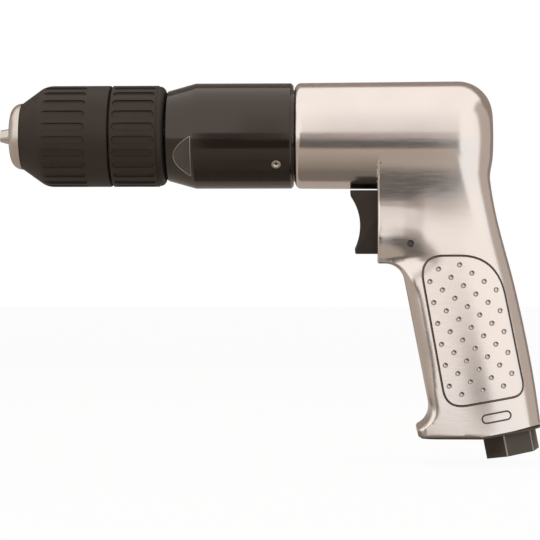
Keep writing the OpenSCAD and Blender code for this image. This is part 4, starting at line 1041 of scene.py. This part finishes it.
RING_CUT = ring_cut_tree()
stands_for(make_housing(), "housing")
stands_for(front_sleeve(), "front_sleeve")
stands_for(rear_sleeve(), "rear_sleeve")
stands_for(trigger_skin(), "trigger")
case = softened("gear_case", 0.35, 11)
store_light_and_tone(case, case_flats, "FACE")
stands_for(case, "gear_case")
# Bright metal lines painted as the highlight along the edges of the wrench flats
for side, name in ((NEAR, "flat_edge_near"), (FAR, "flat_edge_far")):
    rides(flat_edge_highlight(name, side), "gear_case", "gear_steel")
stands_for(inlet_skin(), "inlet_bushing")
stands_for(pin_skin(), "trigger_pin")
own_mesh(NODES["valve_spring"])
stands_for(softened("grease_fitting", 0.5, 25), "grease_fitting")


# Stage: pale floor, a light tent over the drill, and strips and cards that its polished metal mirrors


def plain_emission(name, colour, strength):
    material = bpy.data.materials.new(name)
    material.use_nodes = True
    tree = material.node_tree
    tree.nodes.remove(tree.nodes["Principled BSDF"])
    glow = tree.nodes.new("ShaderNodeEmission")
    preset(glow, {"Color": (*colour, 1), "Strength": strength})
    tree.links.new(glow.outputs["Emission"], tree.nodes["Material Output"].inputs["Surface"])
    return material


def plain_surface(name, colour, roughness):
    material = bpy.data.materials.new(name)
    material.use_nodes = True
    preset(material.node_tree.nodes["Principled BSDF"], {"Base Color": (*colour, 1), "Roughness": roughness})
    return material


def bent_sheet(name, turns, radius, left, right, steps):
    """Sheet bent about X; angles rise from the camera's level over the top."""
    points = []
    for a in np.radians(np.linspace(*turns, steps + 1)):
        y, z = -radius * math.cos(a), radius * math.sin(a)
        points += [(left, y, z), (right, y, z)]
    faces = [(2 * i, 2 * i + 1, 2 * i + 3, 2 * i + 2) for i in range(steps)]
    return new_mesh(name, points, faces)


def stage(obj, material, shown):
    obj.data.materials.append(material)
    obj.visible_camera = shown


def mirrored(sheet, colour):
    """Sheet that only mirrors show: it lights nothing else and casts no shadow."""
    sheet.visible_diffuse = False
    sheet.visible_shadow = False
    stage(sheet, plain_emission(sheet.name, colour, 1.0), False)


def floor_sheet(name, z, *corners):
    """Level sheet with corners in X-Y."""
    return new_mesh(name, [(x, y, z) for x, y in corners], [range(len(corners))])


def level_sheet(name, near, far, z):
    """Level sheet between a near and a far edge, each (y, left, right)."""
    return floor_sheet(name, z, (near[1], near[0]), (near[2], near[0]), (far[2], far[0]), (far[1], far[0]))


def upright_sheet(name, x, front, rear, top):
    """Sheet across X that stands on the floor."""
    corners = [(x, front, floor_z), (x, rear, floor_z), (x, rear, top), (x, front, top)]
    return new_mesh(name, corners, [range(4)])


def tinted(shade, tint):
    return tuple(shade * t for t in tint)


def white_background(tree, output, lit, glow_type, share):
    """Shows white to camera, glossy and transmitted rays by a share, and the lit shader for the rest."""
    new, link = tree.nodes.new, tree.links.new
    rays = new("ShaderNodeLightPath").outputs
    steps = [("MAXIMUM", rays[kind]) for kind in ("Is Glossy Ray", "Is Transmission Ray")]
    seen = reckoned(tree, rays["Is Camera Ray"], steps + [("MULTIPLY", share)])
    mix, glow = new("ShaderNodeMixShader"), new(glow_type)
    preset(glow, {"Color": (1, 1, 1, 1), "Strength": 1.0})
    link(seen, mix.inputs["Fac"])
    link(lit, mix.inputs[1])
    link(glow.outputs[0], mix.inputs[2])
    link(mix.outputs["Shader"], output.inputs["Surface"])


# Tent and back wall, with angles in degrees, and the floor
TENT_LIGHT, TENT_STRENGTH, WALL_COLOUR = (1.0, 0.955, 0.92), 1.06, (0.42, 0.36, 0.32)
TENT_R, TENT_LEFT, TENT_RIGHT = 900, -1100, 1300
TENT_TURNS, WALL_TURNS = (-24, 125), (125, 190)
tent = bent_sheet("light_tent", TENT_TURNS, TENT_R, TENT_LEFT, TENT_RIGHT, 48)
stage(tent, plain_emission("tent_light", TENT_LIGHT, TENT_STRENGTH), False)
back_wall = bent_sheet("back_wall", WALL_TURNS, TENT_R, TENT_LEFT, TENT_RIGHT, 12)
stage(back_wall, plain_surface("wall_paint", WALL_COLOUR, 0.9), False)

FLOOR_COLOUR, FLOOR_WHITE = (0.96, 0.95, 0.94), 0.95
floor_z = cad_box[0].z / MM - 2
floor_paint = plain_surface("floor_paint", FLOOR_COLOUR, 0.8)
floor_tree = floor_paint.node_tree
floor_lit = floor_tree.nodes["Principled BSDF"].outputs["BSDF"]
floor_end = floor_tree.nodes["Material Output"]
white_background(floor_tree, floor_end, floor_lit, "ShaderNodeEmission", FLOOR_WHITE)
stage(level_sheet("floor", (-4000, -4000, 4200), (4000, -4000, 4200), floor_z), floor_paint, True)

# Strips in front of the tent: dark band of the gear case, grey band of the barrel, dimmer light above it
STRIP_R, STRIP_TURNS = 870, (-12, 3.5)
CASE_STRIP, BARREL_STRIP = (-30, 92), (92, 226)
DIM_TINT = (1.06, 1.01, 0.975)
DIM_STEPS = [(3.5, 13, 0.68), (13, 21, 0.73), (21, 29, 0.78), (29, 37, 0.84), (37, 46, 0.9), (46, 56, 0.96)]
mirrored(bent_sheet("dark_strip", STRIP_TURNS, STRIP_R, *CASE_STRIP, 8), (0.28, 0.25, 0.235))
mirrored(bent_sheet("grey_strip", STRIP_TURNS, STRIP_R, *BARREL_STRIP, 8), (0.39, 0.335, 0.31))
for start, end, shade in DIM_STEPS:
    mirrored(bent_sheet("dim_strip", (start, end), STRIP_R, *BARREL_STRIP, 8), tinted(shade, DIM_TINT))

# Cards on the floor: brown all round, dark tones of the band and the trigger block, shade under the barrel
CARD_Z, DARK_Z, TONE_Z = floor_z + 1, floor_z + 2, floor_z + 3
SHADE_TINT = (1, 0.86, 0.73)
SHADES = [(-245, -190, 0.46), (-190, -150, 0.43), (-150, -115, 0.39), (-115, -88, 0.35), (-88, -66, 0.31),
          (-66, -46, 0.27), (-46, -28, 0.23), (-28, 60, 0.19)]
mirrored(level_sheet("front_card", (-880, -900, 224), (880, -900, 184), CARD_Z), (0.45, 0.39, 0.34))
mirrored(level_sheet("dark_card", (-880, -30, 224), (-245, 52, 199), DARK_Z), (0.11, 0.1, 0.095))
mirrored(level_sheet("grey_card", (-880, 91, 160), (-570, 102, 157), TONE_Z), (0.26, 0.225, 0.205))
mirrored(level_sheet("dim_card", (-880, 160, 224), (-570, 157, 211), TONE_Z), (0.17, 0.148, 0.135))
mirrored(level_sheet("deep_card", (-570, 165, 211), (-300, 160, 201), TONE_Z), (0.04, 0.037, 0.036))
for near, far, shade in SHADES:
    card = level_sheet("shade_card", (near, 50, 199), (far, 50, 198), DARK_Z)
    mirrored(card, tinted(shade, SHADE_TINT))

# Cards at the sides: brown rim of the housing's back, paler to its edge, and the left end
RIGHT_X, LEFT_X, CARD_REAR, RIGHT_TOP, LEFT_TOP = 1250, -1050, 900, 900, 700
CARD_BROWN, EDGE_TINT, TOP_TINT = (0.5, 0.44, 0.4), (1, 0.91, 0.85), (1, 0.89, 0.82)
HOUSING_BACK = (206, -2)
mirrored(upright_sheet("left_card", LEFT_X, -290, CARD_REAR, LEFT_TOP), CARD_BROWN)
mirrored(upright_sheet("right_card", RIGHT_X, -250, CARD_REAR, RIGHT_TOP), CARD_BROWN)
right_corners = [(RIGHT_X, -250), (RIGHT_X, CARD_REAR), (HOUSING_BACK[0], CARD_REAR)]
mirrored(floor_sheet("right_floor_card", CARD_Z, HOUSING_BACK, *right_corners), CARD_BROWN)
for start, radius, left, shade in ((73.6, 885, 1070, 0.5), (67.4, 888, 1010, 0.64), (61, 891, 950, 0.82)):
    card = bent_sheet("top_card", (start, TENT_TURNS[1]), radius, left, TENT_RIGHT - 5, 24)
    mirrored(card, tinted(shade, TOP_TINT))
for front, rear, shade in ((-340, -250, 0.64), (-430, -340, 0.82)):
    paint = tinted(shade, EDGE_TINT)
    mirrored(upright_sheet("edge_card", RIGHT_X, front, rear, RIGHT_TOP), paint)
    wedge = floor_sheet("edge_floor_card", CARD_Z, HOUSING_BACK, (RIGHT_X, front), (RIGHT_X, rear))
    mirrored(wedge, paint)

world = bpy.context.scene.world or bpy.data.worlds.new("studio")
bpy.context.scene.world = world
world.use_nodes = True
world_tree = world.node_tree
ambient = world_tree.nodes["Background"]
preset(ambient, {"Color": (*TENT_LIGHT, 1), "Strength": 0.35})
white_background(world_tree, world_tree.nodes["World Output"], ambient.outputs["Background"],
                 "ShaderNodeBackground", 1.0)

bpy.context.scene.view_settings.view_transform = "Standard"

lens = bpy.data.cameras.new("photo_camera")
lens.sensor_fit = "HORIZONTAL"
lens.sensor_width = 36.0
lens.lens = lens.sensor_width * CAMERA_DISTANCE / (PHOTO_PX * PX)
lens.clip_start, lens.clip_end = 0.01, 20.0
camera = bpy.data.objects.new("photo_camera", lens)
camera.location = Vector(CAMERA) * MM
camera.rotation_euler = (math.radians(90), 0, CAMERA_TURN)
bpy.context.scene.collection.objects.link(camera)
bpy.context.scene.camera = camera

bpy.context.view_layer.update()
